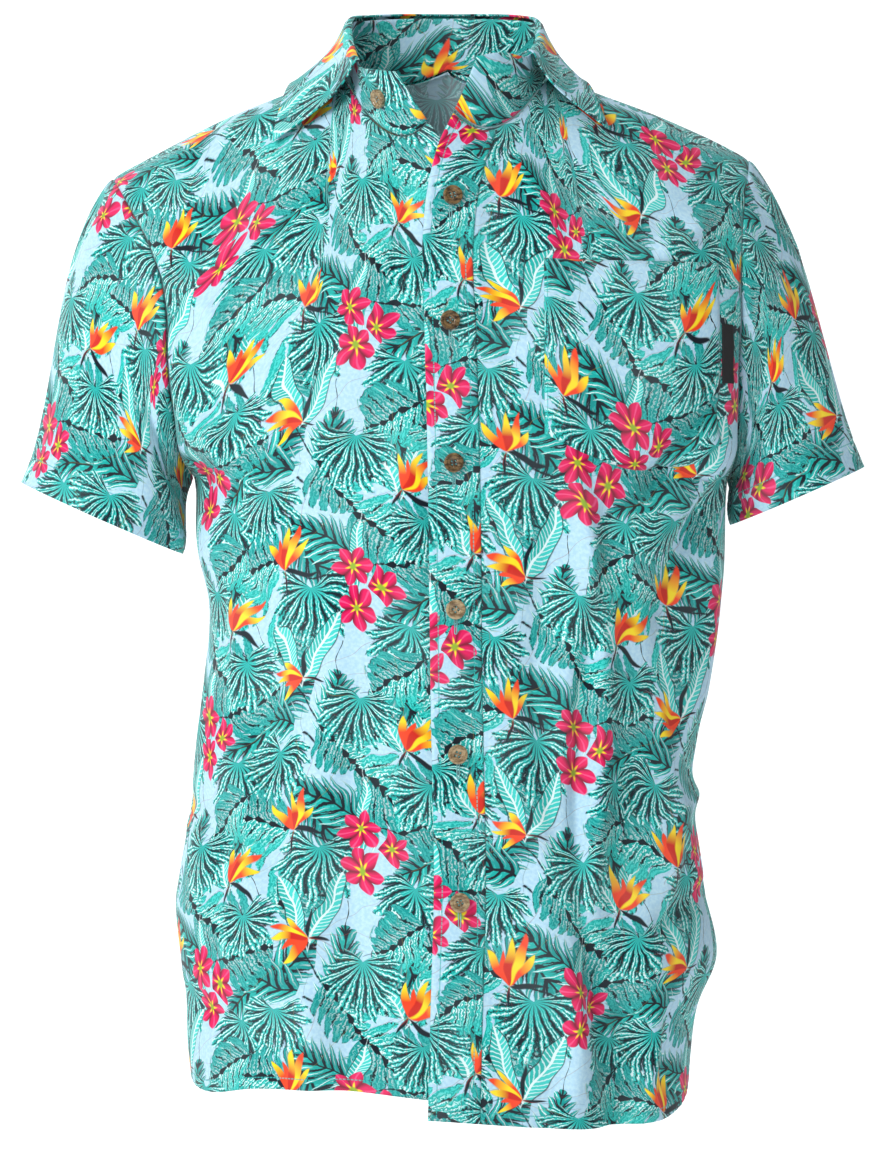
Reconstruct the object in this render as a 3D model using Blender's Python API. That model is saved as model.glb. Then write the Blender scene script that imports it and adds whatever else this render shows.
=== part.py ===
"""A men's short-sleeved button-up shirt in light printed cotton, filled out as if worn, with nobody in it.

Metres, +Z up. The front faces -Y, and the wearer's right side is at -X. The origin is in the middle of the neck
opening, level with the tops of the shoulder seams, where the shirt is held up. Every cloth piece is a thin wall:
its outer face is worked out from the tables below, and its inner face lies one wall further in.
"""

import math

import bmesh
import bpy
import numpy as np
from mathutils import Matrix, Vector

MM = 0.001
WALL = 1.3 * MM  # the thickness of every cloth wall
SEAM_GAP = 0.3 * MM  # the clearance between two pieces at a seam
SMALL_STEP = 0.002  # a step in the surface parameters, for slopes

BISECTIONS = 24

RIGHT, LEFT = -1, 1  # the wearer's sides, as signs of x
FRONT, BACK = -1, 1  # the faces, as signs of y

UNDERARM = -262.0  # the height where side seam and sleeve meet, in millimetres
FRONT_FULLNESS = 2.35  # exponents of the rounded sections: 2 is an ellipse, more is squarer
BACK_FULLNESS = 2.25
SHOULDER_FULLNESS = 2.3
NECK_FULLNESS = 1.0  # how much squarer the chest rises in the middle, under the neck
FAN = 1.4  # how far the columns spread from the chest to the shoulder
SHOULDER_OPENING = 0.4  # how much less round the sections are at the shoulder than at the chest
BACK_MIDDLE_X = -6.0
MIDDLE_REACH = 0.4  # how far the front edge's shape fades into the panel
ARMHOLE_REACH = 1.8  # how quickly the armhole's shape fades into the panel
SHOULDER_BULGE = 4.0  # how far the shoulder seam stands above a straight line

NECK_COLUMNS = 6  # columns of each half panel and the stand under a quarter of the neck seam
OUTER_COLUMNS = 8
PANEL_ROWS = (*np.linspace(0, 1, 10), 1.05, 1.12, 1.2, 1.28, 1.36, 1.45, 1.54, 1.63, 1.72, 1.81, 1.9, 1.96, 2.0)
SLEEVE_ROWS = (0.0, 0.08, 0.2, 0.35, 0.5, 0.65, 0.8, 0.92, 1.0)
STAND_ROWS = 3
STAND_SWELL = 1.5 * MM
LEAF_COLUMNS = 33
LEAF_ROWS = 4
LEAF_ROLL = ((-0.9, 1.9), (1.2, 2.6), (3.4, 0.6))  # over the stand's top edge: out and up, in millimetres
LEAF_LEAVES = (0.35, 0.9)  # how far out and down the leaf leaves the roll

FINISHES = {
    "cotton": ((0.10, 0.45, 0.45), 0.8),
    "horn": ((0.22, 0.13, 0.06), 0.35),
    "black_weave": ((0.01, 0.01, 0.012), 0.75),
}

PLACKET_WIDTH = 34.0 * MM
PLACKET_TOP = 1.98  # how far up the left front the placket goes, its own top being 2
TRIM_WALL = 1.0 * MM  # the placket's and the pocket's walls
BUTTON_DIAMETER = 12.8 * MM
BUTTON_THICKNESS = 3.0 * MM
BUTTON_EDGE = 0.6 * MM
BUTTON_SIDES = 20
STAND_BUTTON = {"place": 0.3, "level": 0.55}
BUTTON_HEIGHTS = (-75.0, -160.0, -255.0, -350.0, -444.0, -540.0)
BUTTON_LIFT = 0.5 * MM
STAND_GAP = 0.4 * MM
LEAF_WALL = 1.3 * MM

# Half widths to the side seams, in millimetres.
SIDE_SEAMS = {
    "height": (-690, -655, -620, -590, -550, -510, -475, -440, -395, -350, -311, -262),
    RIGHT: (180, 185, 187, 190, 193, 187, 182, 179, 174, 171, 178, 181),
    LEFT: (159, 161, 166, 178, 172, 166, 160, 165, 172, 177, 183, 185),
}

# The free edge of each front, from the hem to the collar stand: x of the edge, and how far forward it lies.
FRONT_EDGES = {
    "height": (-690, -610, -540, -409, -253, -165, -104, -70, -41, -24, 0),
    RIGHT: (11, 13, 14, 12, 9, 7, 5, 0, -12, -24, -38),
    LEFT: (-20, -18, -16, -18, -20, -22, -23, -19, -11, -3, 8),
    "forward": (132, 131, 129, 128, 132, 130, 125, 121, 115, 106, 90),
}
UNDERLAP = 5.0  # how far the right front lies behind the left front

# The middle of the back, from the hem to the neck seam.
BACK_MIDDLE = {
    "height": (-690, -550, -450, -350, -262, -190, -120, -60, 0, 28, 50),
    "backward": (118, 117, 112, 111, 116, 119, 114, 99, 68, 50, 32),
}

# The armhole seams: distance out, and distance from the seam line on top of the shoulder.
ARMHOLES = {
    RIGHT: {
        "height": (-262, -250, -220, -185, -152, -132, -115, -101, -88, -74, -62, -54),
        "out": (181, 186, 190, 194, 195, 198, 204, 210, 217, 225, 232, 238),
        FRONT: (0, 34, 60, 71, 72, 69, 64, 57, 49, 38, 25, 0),
        BACK: (0, 32, 56, 67, 69, 67, 63, 57, 49, 39, 26, 0),
    },
    LEFT: {
        "height": (-262, -251, -222, -188, -155, -132, -112, -95, -80, -66, -53, -41),
        "out": (185, 187, 188, 188, 190, 190, 191, 192, 194, 196, 199, 202),
        FRONT: (0, 34, 60, 71, 72, 69, 64, 57, 49, 38, 25, 0),
        BACK: (0, 32, 56, 67, 69, 67, 63, 57, 49, 39, 26, 0),
    },
}

# The hem's height along each front, from its free edge to the side seam, and along the back.
HEMS = {
    "along": (0.0, 0.25, 0.5, 0.7, 0.88, 1.0),
    (RIGHT, FRONT): (-672, -665, -667, -674, -673, -668),
    (LEFT, FRONT): (-682, -688, -690, -688, -679, -665),
    (RIGHT, BACK): (-684, -684, -682, -678, -672, -668),
    (LEFT, BACK): (-684, -684, -682, -678, -670, -665),
}

# The neck seam seen from above: a rounded outline about the middle of the neck.
NECK = {"middle": -9.0, "half_width": 73.0, FRONT: 105.0, BACK: 50.0, "fullness": 2.3}
SIDE_NECK_HEIGHTS = {RIGHT: 17.0, LEFT: 14.0}  # where the neck seam crosses the shoulder seams

# The collar's fold above the neck seam, from the right front end round the back to the left front end.
COLLAR_FOLD = {
    "place": (0, 0.2, 0.4, 0.6, 0.8, 1.0, 1.35, 1.7, 2.0, 2.3, 2.65, 3.0, 3.2, 3.4, 3.6, 3.8, 4.0),
    "x": (-41, -56, -65, -70, -73, -73, -62, -36, -9, 18, 44, 55, 55, 53, 46, 30, 13),
    "y": (-110, -100, -78, -50, -20, 5, 30, 46, 51, 46, 30, 5, -20, -50, -79, -102, -112),
    "z": (2, 5, 10, 24, 41, 53, 60, 64, 65, 64, 60, 52, 41, 28, 17, 16, 12),
}

SLEEVE_START = (0.62, 0.78)  # how far out and how far down a sleeve leaves the armhole
SLEEVE_FLARE = 0.9

# The collar leaf's outer edge: u and v on the half panel beneath it, and how far it stands off the panel.
LEAF_EDGE = {
    "place": (0.42, 0.55, 0.7, 0.85, 1.0, 1.2, 1.4, 1.65, 2.0, 2.35, 2.6, 2.8, 3.0, 3.15, 3.3, 3.45, 3.58),
    "u": (0.49, 0.48, 0.465, 0.45, 0.43, 0.41, 0.36, 0.2, 0.0, 0.2, 0.36, 0.41, 0.43, 0.45, 0.46, 0.47, 0.48),
    "v": (1.64, 1.72, 1.82, 1.92, 2.0, 1.93, 1.89, 1.89, 1.9, 1.89, 1.89, 1.93, 2.0, 1.92, 1.83, 1.74, 1.66),
    "lift": (4, 4, 4, 4, 4, 4, 5, 6, 7, 6, 5, 4, 4, 4, 4, 4, 4),
}

# The largest folds of the fronts and the back, as soft ridges (or troughs, below zero) down the panels: x at
# the top, drift of x down to the hem, where the fold starts, its half width and its height.
FOLDS = {
    "columns": ("side", "face", "x", "drift", "top", "half_width", "rise"),
    "rows": (
        (LEFT, FRONT, 84, -4, -270, 16, 6.0),
        (LEFT, FRONT, 104, 0, -300, 12, -4.5),
        (LEFT, FRONT, 128, 4, -520, 12, 4.0),
        (RIGHT, FRONT, -112, 8, -330, 16, 3.5),
        (RIGHT, FRONT, -78, 6, -300, 14, -3.0),
        (RIGHT, BACK, -96, 6, -300, 18, 5.0),
        (RIGHT, BACK, -52, 2, -360, 16, -4.0),
        (LEFT, BACK, 62, -4, -280, 18, 5.0),
        (LEFT, BACK, 104, -4, -380, 16, -4.0),
    ),
}
FOLD_FADE = 120.0  # the height over which a fold comes in

# The chest pocket on the left front, and the tab in its outer seam, in millimetres.
POCKET = {"inner": 56.0, "outer": 173.0, "top": -121.0, "column": 0.5}
POCKET_BOTTOM = {"along": (0, 0.25, 0.5, 0.8, 1.0), "height": (-236, -250, -259, -256, -240)}
POCKET_LIFT = 0.8 * MM
POCKET_END_ROWS = 5  # rows of the pocket between its top or bottom edge and the panel's nearest whole row
TAB = {"inner": 177.6, "outer": 184.0, "top": -162.0, "bottom": -201.0, "wall": 0.8}
EDGE_MARGIN = 0.04  # how near an outline the panel's own rows and columns are left out

# Each cuff: its outer and inner corner, and how deep the opening is.
CUFFS = {
    RIGHT: {"outer": (-299, -264), "inner": (-189, -313), "middle": -6, "half_depth": 62},
    LEFT: {"outer": (280, -253), "inner": (189, -293), "middle": 0, "half_depth": 66},
}


def smooth(keys, values, at):
    """Reads a column at any place, along a smooth curve through its values."""
    keys = np.asarray(keys, float)
    values = np.asarray(values, float)
    slopes = np.gradient(values, keys)
    first = np.clip(np.searchsorted(keys, at) - 1, 0, len(keys) - 2)
    span = keys[first + 1] - keys[first]
    t = np.clip((at - keys[first]) / span, 0, 1)
    rise = values[first + 1] - values[first]
    start = slopes[first] * span
    end = slopes[first + 1] * span
    return values[first] + t * (start + t * (3 * rise - 2 * start - end + t * (start + end - 2 * rise)))


def side_shares(face, u, opening=0.0):
    """How far across and how far back a rounded section is at u, each from 0 to 1. With an opening, the
    section stops short of the quarter turn."""
    fullness = FRONT_FULLNESS if face == FRONT else BACK_FULLNESS
    turn = (1 - opening) * math.pi / 2
    across = np.sin(u * turn) / np.sin(turn)
    return across ** (2 / fullness), np.clip(np.cos(u * turn), 0, 1) ** (2 / fullness)


def middle_edge(side, face, height):
    """The inner edge of a half panel at a height: its x and its y."""
    if face == BACK:
        return np.full_like(height, BACK_MIDDLE_X), smooth(BACK_MIDDLE["height"], BACK_MIDDLE["backward"], height)
    forward = smooth(FRONT_EDGES["height"], FRONT_EDGES["forward"], height)
    behind = UNDERLAP if side == RIGHT else 0.0
    return smooth(FRONT_EDGES["height"], FRONT_EDGES[side], height), behind - forward


def below_underarm(side, face, u, low):
    """A half panel from the hem (low = 0) to the underarm (low = 1), in millimetres."""
    hem = smooth(HEMS["along"], HEMS[side, face], u)
    height = hem + (UNDERARM - hem) * low
    half = side * smooth(SIDE_SEAMS["height"], SIDE_SEAMS[side], height)
    middle_x, middle_y = middle_edge(side, face, height)
    across, back = side_shares(face, u)
    return np.stack([middle_x + (half - middle_x) * across, middle_y * back, height], -1)


def uncorrected(side, face, u, rise):
    """A half panel from the underarm (rise = 0) over the chest to the line along the top of the shoulder
    (rise = 1), before its edges are moved to the front edge and the armhole."""
    h = np.sin(rise * math.pi / 2)
    across, back = side_shares(face, u, SHOULDER_OPENING * h**2)
    middle_x, middle_y = middle_edge(side, face, np.full_like(u, UNDERARM))
    armhole = ARMHOLES[side]
    chest_x = middle_x + (side * armhole["out"][0] - middle_x) * across
    tip_x, tip_z = side * armhole["out"][-1], armhole["height"][-1]
    top_x = NECK["middle"] + (tip_x - NECK["middle"]) * across**FAN
    inward = (tip_x - top_x) / (tip_x - NECK["middle"] - side * NECK["half_width"])
    bulge = SHOULDER_BULGE * np.sin(math.pi * np.clip(inward, 0, 1))
    top_z = tip_z + (SIDE_NECK_HEIGHTS[side] - tip_z) * inward + bulge
    fullness = SHOULDER_FULLNESS + NECK_FULLNESS * (1 - u) ** 8
    over = np.clip(1 - h**fullness, 0, 1) ** (1 / fullness)
    return np.stack(
        [
            chest_x + (top_x - chest_x) * h**2,
            middle_y * back * over,
            UNDERARM + (top_z - UNDERARM) * h,
        ],
        -1,
    )


def above_underarm(side, face, u, rise):
    """A half panel above the underarm, with its inner edge on the front edge or the middle of the back and
    its outer edge on the armhole."""
    points = uncorrected(side, face, u, rise)
    at_middle = uncorrected(side, face, np.zeros_like(u), rise)
    middle_x, middle_y = middle_edge(side, face, at_middle[..., 2])
    near = np.clip(1 - u / MIDDLE_REACH, 0, 1) ** 2
    points[..., 0] += (middle_x - at_middle[..., 0]) * near
    points[..., 1] += (middle_y - at_middle[..., 1]) * near
    at_armhole = uncorrected(side, face, np.ones_like(u), rise)
    armhole = ARMHOLES[side]
    out = side * smooth(armhole["height"], armhole["out"], at_armhole[..., 2])
    away = face * smooth(armhole["height"], armhole[face], at_armhole[..., 2])
    points[..., 0] += (out - at_armhole[..., 0]) * u**ARMHOLE_REACH
    points[..., 1] += (away - at_armhole[..., 1]) * u**ARMHOLE_REACH
    return points


def outside_neck(face, points):
    """Positive outside the neck seam's outline, negative within it."""
    across = np.abs(points[..., 0] - NECK["middle"]) / NECK["half_width"]
    along = np.abs(points[..., 1]) / NECK[face]
    return across ** NECK["fullness"] + along ** NECK["fullness"] - 1


def neck_cut(side, face, u):
    """How far up each column goes before it meets the neck seam, as a share of the whole rise."""
    low, high = np.full_like(u, 0.5), np.ones_like(u)
    for _ in range(BISECTIONS):
        middle = (low + high) / 2
        outside = outside_neck(face, above_underarm(side, face, u, middle)) > 0
        low = np.where(outside, middle, low)
        high = np.where(outside, high, middle)
    return high


def half_panel(side, face, u, level):
    """A half panel's outer face, with level running to 2 at the top of the shoulder and no neck cut away."""
    low = below_underarm(side, face, u, np.clip(level, 0, 1))
    high = above_underarm(side, face, u, np.clip(level - 1, 0, 1))
    return np.where(level[..., None] > 1, high, low) * MM


def cut_level(side, face, u, v):
    """Squeezes the rows above the underarm so that v = 2 is the neck seam and the shoulder seam."""
    return np.where(v > 1, 1 + (v - 1) * neck_cut(side, face, u), v)


def fold_relief(side, face, points):
    """How far the folds lift a half panel, in millimetres. They die out at the front edge and the side."""
    relief = np.zeros(points.shape[:-1])
    for row in FOLDS["rows"]:
        fold = dict(zip(FOLDS["columns"], row))
        if (fold["side"], fold["face"]) != (side, face):
            continue
        down = np.clip((fold["top"] - points[..., 2]) / FOLD_FADE, 0, 1)
        reach = (points[..., 0] - fold["x"] - fold["drift"] * down) / fold["half_width"]
        relief += fold["rise"] * down**2 * (3 - 2 * down) * np.exp(-(reach**2))
    return relief


def panel(side, face, u, v):
    """A half panel's outer face and its normal, in metres. u runs from its inner edge to the side seam and
    armhole, and v from the hem (0) to the underarm (1) and on to the neck and shoulder seams (2)."""
    u, v = np.broadcast_arrays(np.clip(u, 0.0, 1.0), np.clip(v, 0.0, 2.0))
    level = cut_level(side, face, u, v)
    before, after = np.clip(u - SMALL_STEP, 0, 1), np.clip(u + SMALL_STEP, 0, 1)
    along = half_panel(side, face, after, level) - half_panel(side, face, before, level)
    under, over = np.clip(level - SMALL_STEP, 0, 2), np.clip(level + SMALL_STEP, 0, 2)
    up = half_panel(side, face, u, over) - half_panel(side, face, u, under)
    normal = unit(np.cross(along, up)) * (-side * face)
    points = half_panel(side, face, u, level)
    on_seam = np.abs(points[..., 1]) < SEAM_GAP
    normal[..., 1] = np.where(on_seam, 0.0, normal[..., 1])
    normal = unit(normal)
    points[..., 1] += face * SEAM_GAP / 2
    points += normal * fold_relief(side, face, points / MM)[..., None] * MM
    return points, normal


def unit(vectors):
    return vectors / np.maximum(np.linalg.norm(vectors, axis=-1, keepdims=True), 1e-12)


def side_neck(side, face):
    """The u of the column that ends where the neck seam meets the shoulder seam."""
    fullness = FRONT_FULLNESS if face == FRONT else BACK_FULLNESS
    tip_x = side * ARMHOLES[side]["out"][-1]
    across = (NECK["half_width"] / abs(tip_x - NECK["middle"])) ** (1 / FAN)
    turn = (1 - SHOULDER_OPENING) * math.pi / 2
    return math.asin(across ** (fullness / 2) * math.sin(turn)) / turn


def armhole_seam(side, around):
    """The panels' edge round an armhole, from the underarm (0) up the front, over the tip of the shoulder
    (0.5) and down the back: its points, the panels' normals there, and the directions straight off the edge."""
    around = np.asarray(around, float) % 1.0
    front = around <= 0.5
    v = 1 + 2 * np.where(front, around, 1 - around)
    ones = np.ones_like(around)
    found = []
    for face in (FRONT, BACK):
        points, normals = panel(side, face, ones, v)
        higher = half_panel(side, face, ones, np.clip(v + SMALL_STEP, 1, 2))
        lower = half_panel(side, face, ones, np.clip(v - SMALL_STEP, 1, 2))
        along = unit(higher - lower) * -face
        found.append((points, normals, np.cross(normals, along) * -side))
    return [np.where(front[:, None], a, b) for a, b in zip(*found)]


def hermite(start, start_slope, end, end_slope, t):
    """A smooth curve between two points with the slopes given at each."""
    a = 2 * t**3 - 3 * t**2 + 1
    b = t**3 - 2 * t**2 + t
    c = -2 * t**3 + 3 * t**2
    d = t**3 - t**2
    return a * start + b * start_slope + c * end + d * end_slope


def sleeve(side, around, down):
    """A sleeve's outer face, in metres, from the armhole (down = 0) to the cuff (down = 1)."""
    points, _, off = armhole_seam(side, around)
    start = points + off * SEAM_GAP
    cuff = CUFFS[side]
    outer = np.array([cuff["outer"][0], cuff["middle"], cuff["outer"][1]]) * MM
    inner = np.array([cuff["inner"][0], cuff["middle"], cuff["inner"][1]]) * MM
    turn = 2 * math.pi * np.asarray(around, float)[:, None]
    forward = np.array([0.0, -cuff["half_depth"] * MM, 0.0])
    end = (outer + inner) / 2 + (inner - outer) / 2 * np.cos(turn) + forward * np.sin(turn)
    across = outer - inner
    leaving = unit(np.array([side * SLEEVE_START[0], 0.0, -SLEEVE_START[1]]))
    arriving = unit(np.array([side * abs(across[2]), 0.0, -abs(across[0])]))
    length = np.linalg.norm(end - start, axis=-1, keepdims=True)
    return hermite(start, leaving * length, end, arriving * length * SLEEVE_FLARE, down)


def grid_normals(points, closed):
    """The normals of a grid of points, rows by columns, from its neighbours."""
    if closed:
        wide = np.concatenate([points[:, -2:-1], points, points[:, 1:2]], 1)
        across = wide[:, 2:] - wide[:, :-2]
    else:
        across = np.gradient(points, axis=1)
    up = np.gradient(points, axis=0)
    return unit(np.cross(across, up))


def wall_solid(name, outer, inner, closed=False):
    """A thin closed solid between two grids of points. A closed one is a tube, whose first and last columns
    are the same."""
    rows, columns = outer.shape[:2]
    mesh_data = bmesh.new()
    bmesh.ops.create_grid(mesh_data, x_segments=columns - 1, y_segments=rows - 1, size=0.5)
    number = mesh_data.verts.layers.int.new("number")
    for vertex in mesh_data.verts:
        column = round((vertex.co.x + 0.5) * (columns - 1))
        row = round((vertex.co.y + 0.5) * (rows - 1))
        vertex[number] = row * columns + column
        vertex.co = Vector(outer[row, column])
    if closed:
        bmesh.ops.remove_doubles(mesh_data, verts=mesh_data.verts, dist=0.00001)
    grown = bmesh.ops.extrude_face_region(mesh_data, geom=mesh_data.faces[:])
    inner_points = inner.reshape(-1, 3)
    for item in grown["geom"]:
        if isinstance(item, bmesh.types.BMVert):
            item.co = Vector(inner_points[item[number]])
    bmesh.ops.triangulate(mesh_data, faces=mesh_data.faces, quad_method="FIXED")
    bmesh.ops.recalc_face_normals(mesh_data, faces=mesh_data.faces)
    return finish_object(name, mesh_data)


def finish_object(name, mesh_data):
    """Makes a shaded object of a bmesh, with the finish its name calls for."""
    mesh = bpy.data.meshes.new(name)
    mesh_data.to_mesh(mesh)
    mesh_data.free()
    mesh.shade_smooth()
    mesh.set_sharp_from_angle(angle=math.radians(50))
    mesh.materials.append(finish_of(name))
    made = bpy.data.objects.new(name, mesh)
    bpy.context.scene.collection.objects.link(made)
    return made


def finish_of(name):
    """The material for one piece: the printed cotton, the black tab or the horn-coloured buttons."""
    kind = "cotton"
    if name.startswith("button"):
        kind = "horn"
    if name == "side_tab":
        kind = "black_weave"
    colour, roughness = FINISHES[kind]
    material = bpy.data.materials.new(name)
    material.use_nodes = True
    shader = material.node_tree.nodes["Principled BSDF"]
    shader.inputs["Base Color"].default_value = (*colour, 1.0)
    shader.inputs["Roughness"].default_value = roughness
    shader.inputs["Metallic"].default_value = 0.0
    material.diffuse_color = (*colour, 1.0)
    return material


def panel_columns(side, face):
    """Where a half panel's columns stand: even ones under the neck seam, then even ones to the armhole."""
    neck = side_neck(side, face)
    inside = np.linspace(0, neck, NECK_COLUMNS + 1)
    outside = np.linspace(neck, 1, OUTER_COLUMNS + 1)[1:]
    return np.concatenate([inside, outside])


def panel_grids(side, face, lift=0.0, wall=WALL):
    columns, rows = np.meshgrid(panel_columns(side, face), PANEL_ROWS)
    points, normals = panel(side, face, columns, rows)
    return points + normals * lift, points + normals * (lift - wall)


def make_front(side, name):
    return wall_solid(name, *panel_grids(side, FRONT))


def make_back():
    """The back in one piece, its two halves meeting in the middle column."""
    halves = [[grid for grid in panel_grids(side, BACK)] for side in (RIGHT, LEFT)]
    joined = []
    for right, left in zip(*halves):
        middle = (right[:, :1] + left[:, :1]) / 2
        joined.append(np.concatenate([right[:, :0:-1], middle, left[:, 1:]], 1))
    return wall_solid("back", *joined)


def make_sleeve(side, name):
    rising = np.array([v - 1 for v in PANEL_ROWS if v >= 1]) / 2
    around = np.concatenate([rising, 1 - rising[-2::-1]])
    outer = np.stack([sleeve(side, around, down) for down in SLEEVE_ROWS])
    normals = grid_normals(outer, True) * -side
    _, _, off = armhole_seam(side, around)
    crossing = np.clip((normals[0] * off).sum(-1, keepdims=True), 0, None)
    normals[0] = unit(normals[0] - crossing * off)
    return wall_solid(name, outer, outer - normals * WALL, closed=True)


def neck_point(place):
    """The neck seam at a place, counted from the right front end (0) over the right shoulder (1), the middle
    of the back (2) and the left shoulder (3) to the left front end (4)."""
    found = np.zeros((len(place), 3))
    for number, (side, face) in enumerate(((RIGHT, FRONT), (RIGHT, BACK), (LEFT, BACK), (LEFT, FRONT))):
        share = np.clip(place - number, 0, 1)
        share = share if number in (0, 2) else 1 - share
        points, _ = panel(side, face, share * side_neck(side, face), np.full(len(place), 2.0))
        here = (place >= number) & (place <= number + 1)
        found[here] = points[here]
    return found


def fold_point(place):
    """The collar's fold at a place, on the same count."""
    return np.stack([smooth(COLLAR_FOLD["place"], COLLAR_FOLD[axis], place) for axis in "xyz"], -1) * MM


def outward(points):
    """Level directions pointing out of a collar ring."""
    along = np.gradient(points, axis=0)
    return unit(np.stack([along[:, 1], -along[:, 0], np.zeros(len(points))], -1) * -1)


def stand_columns():
    parts = [np.linspace(number, number + 1, NECK_COLUMNS + 1)[:-1] for number in range(4)]
    return np.concatenate([*parts, [4.0]])


def stand_surface(place):
    """The stand's outer face and its normals, from just clear of the neck seam up to the collar's fold."""
    low = neck_point(place) + np.array([0, 0, STAND_GAP])
    high = fold_point(place)
    out = outward(high)
    low -= out * STAND_GAP
    levels = np.linspace(0, 1, STAND_ROWS + 1)
    outer = np.stack([low + (high - low) * level + out * STAND_SWELL * 4 * level * (1 - level) for level in levels])
    normals = grid_normals(outer, False)
    return outer, normals * np.sign((normals * out).sum(-1, keepdims=True))


def make_stand():
    outer, normals = stand_surface(stand_columns())
    return wall_solid("collar_stand", outer, outer - normals * WALL)


def leaf_edge(place):
    """The leaf's outer edge, a little off the panels beneath it."""
    found = np.zeros((len(place), 3))
    u, v, lift = [smooth(LEAF_EDGE["place"], LEAF_EDGE[column], place) for column in ("u", "v", "lift")]
    for number, (side, face) in enumerate(((RIGHT, FRONT), (RIGHT, BACK), (LEFT, BACK), (LEFT, FRONT))):
        points, normals = panel(side, face, u, v)
        here = (place >= number) & (place <= number + 1)
        found[here] = (points + normals * lift[:, None] * MM)[here]
    return found


def make_leaf():
    """The collar leaf: over the stand's top edge, then down and out to its edge on the shoulders."""
    place = np.linspace(LEAF_EDGE["place"][0], LEAF_EDGE["place"][-1], LEAF_COLUMNS + 1)
    fold = fold_point(place)
    out = outward(fold)
    up = np.array([0.0, 0.0, 1.0])
    edge = leaf_edge(place)
    rows = [fold + out * across * MM + up * rise * MM for across, rise in LEAF_ROLL]
    start = rows[-1]
    fall = out * LEAF_LEAVES[0] - up * LEAF_LEAVES[1]
    length = np.linalg.norm(edge - start, axis=-1, keepdims=True)
    arrive = unit(edge - start) + out * 0.25
    for share in np.linspace(0, 1, LEAF_ROWS + 1)[1:]:
        rows.append(hermite(start, fall * length, edge, arrive * length, share))
    outer = np.stack(rows)
    normals = grid_normals(outer, False) * -1
    return wall_solid("collar_leaf", outer, outer - normals * LEAF_WALL)


def faceted(side, face, u, v):
    """Points and normals on a half panel's own facets, for what lies on it."""
    columns, rows = panel_columns(side, face), np.array(PANEL_ROWS)
    points, normals = panel(side, face, *np.meshgrid(columns, rows))
    column = np.clip(np.searchsorted(columns, u) - 1, 0, len(columns) - 2)
    row = np.clip(np.searchsorted(rows, v) - 1, 0, len(rows) - 2)
    a = ((u - columns[column]) / (columns[column + 1] - columns[column]))[..., None]
    b = ((v - rows[row]) / (rows[row + 1] - rows[row]))[..., None]

    def mixed(grid):
        first, last = grid[row, column], grid[row + 1, column + 1]
        beside, above = grid[row, column + 1], grid[row + 1, column]
        below_diagonal = first + a * (beside - first) + b * (last - beside)
        above_diagonal = first + b * (above - first) + a * (last - above)
        return np.where(a > b, below_diagonal, above_diagonal)

    return mixed(points), unit(mixed(normals))


def column_at(side, v, distance):
    """The u at a distance from a front's free edge, along each row v."""
    samples = np.linspace(0, 0.5, 81)
    found = []
    for row in v:
        points, _ = panel(side, FRONT, samples, np.full_like(samples, row))
        lengths = np.concatenate([[0], np.cumsum(np.linalg.norm(np.diff(points, axis=0), axis=1))])
        found.append(np.interp(distance, lengths, samples))
    return np.array(found)


def row_at(side, u, height):
    """The v at a height, in millimetres, along each column u of a front."""
    samples = np.linspace(0, 2, 401)
    found = []
    for column, level in zip(u, height):
        points, _ = panel(side, FRONT, np.full_like(samples, column), samples)
        found.append(np.interp(level * MM, points[:, 2], samples))
    return np.array(found)


def column_through(side, x, v):
    """The u where each row v of a front passes x, in millimetres."""
    samples = np.linspace(0, 1, 201)
    found = []
    for place, row in zip(x, v):
        points, _ = panel(side, FRONT, samples, np.full_like(samples, row))
        found.append(np.interp(place * MM, points[:, 0], samples))
    return np.array(found)


def between(values, low, high):
    """The panel's own rows or columns well inside a stretch."""
    margin = EDGE_MARGIN * (high - low)
    return [value for value in values if low + margin < value < high - margin]


def make_placket():
    """The band on the left front's free edge, made of the panel's own rows and columns."""
    rows = np.array([*PANEL_ROWS[:-1], PLACKET_TOP])
    edge = column_at(LEFT, rows, PLACKET_WIDTH)
    inside = between(panel_columns(LEFT, FRONT), 0, edge.min())
    columns = np.stack([0 * edge, *[0 * edge + column for column in inside], edge], -1)
    points, normals = faceted(LEFT, FRONT, columns, rows[:, None] + 0 * columns)
    inner = points + normals * SEAM_GAP
    return wall_solid("placket", inner + normals * TRIM_WALL, inner)


def halved(lines):
    """A stack of lines with another midway between each two."""
    lines = np.array(lines)
    finer = np.empty((2 * len(lines) - 1, *lines.shape[1:]))
    finer[::2] = lines
    finer[1::2] = (lines[1:] + lines[:-1]) / 2
    return finer


def rise_between(u, v, points, normals):
    """How far the left front's facets rise above the straight lines between neighbouring points."""
    rise = np.zeros(u.shape)
    for down, along in ((0, 1), (1, 0), (1, 1)):
        first = np.s_[: len(u) - down, : u.shape[1] - along]
        last = np.s_[down:, along:]
        middle, _ = faceted(LEFT, FRONT, (u[first] + u[last]) / 2, (v[first] + v[last]) / 2)
        over = ((middle - (points[first] + points[last]) / 2) * normals[first]).sum(-1)
        rise[first] = np.maximum(rise[first], over)
        rise[last] = np.maximum(rise[last], over)
    return rise[..., None]


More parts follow.
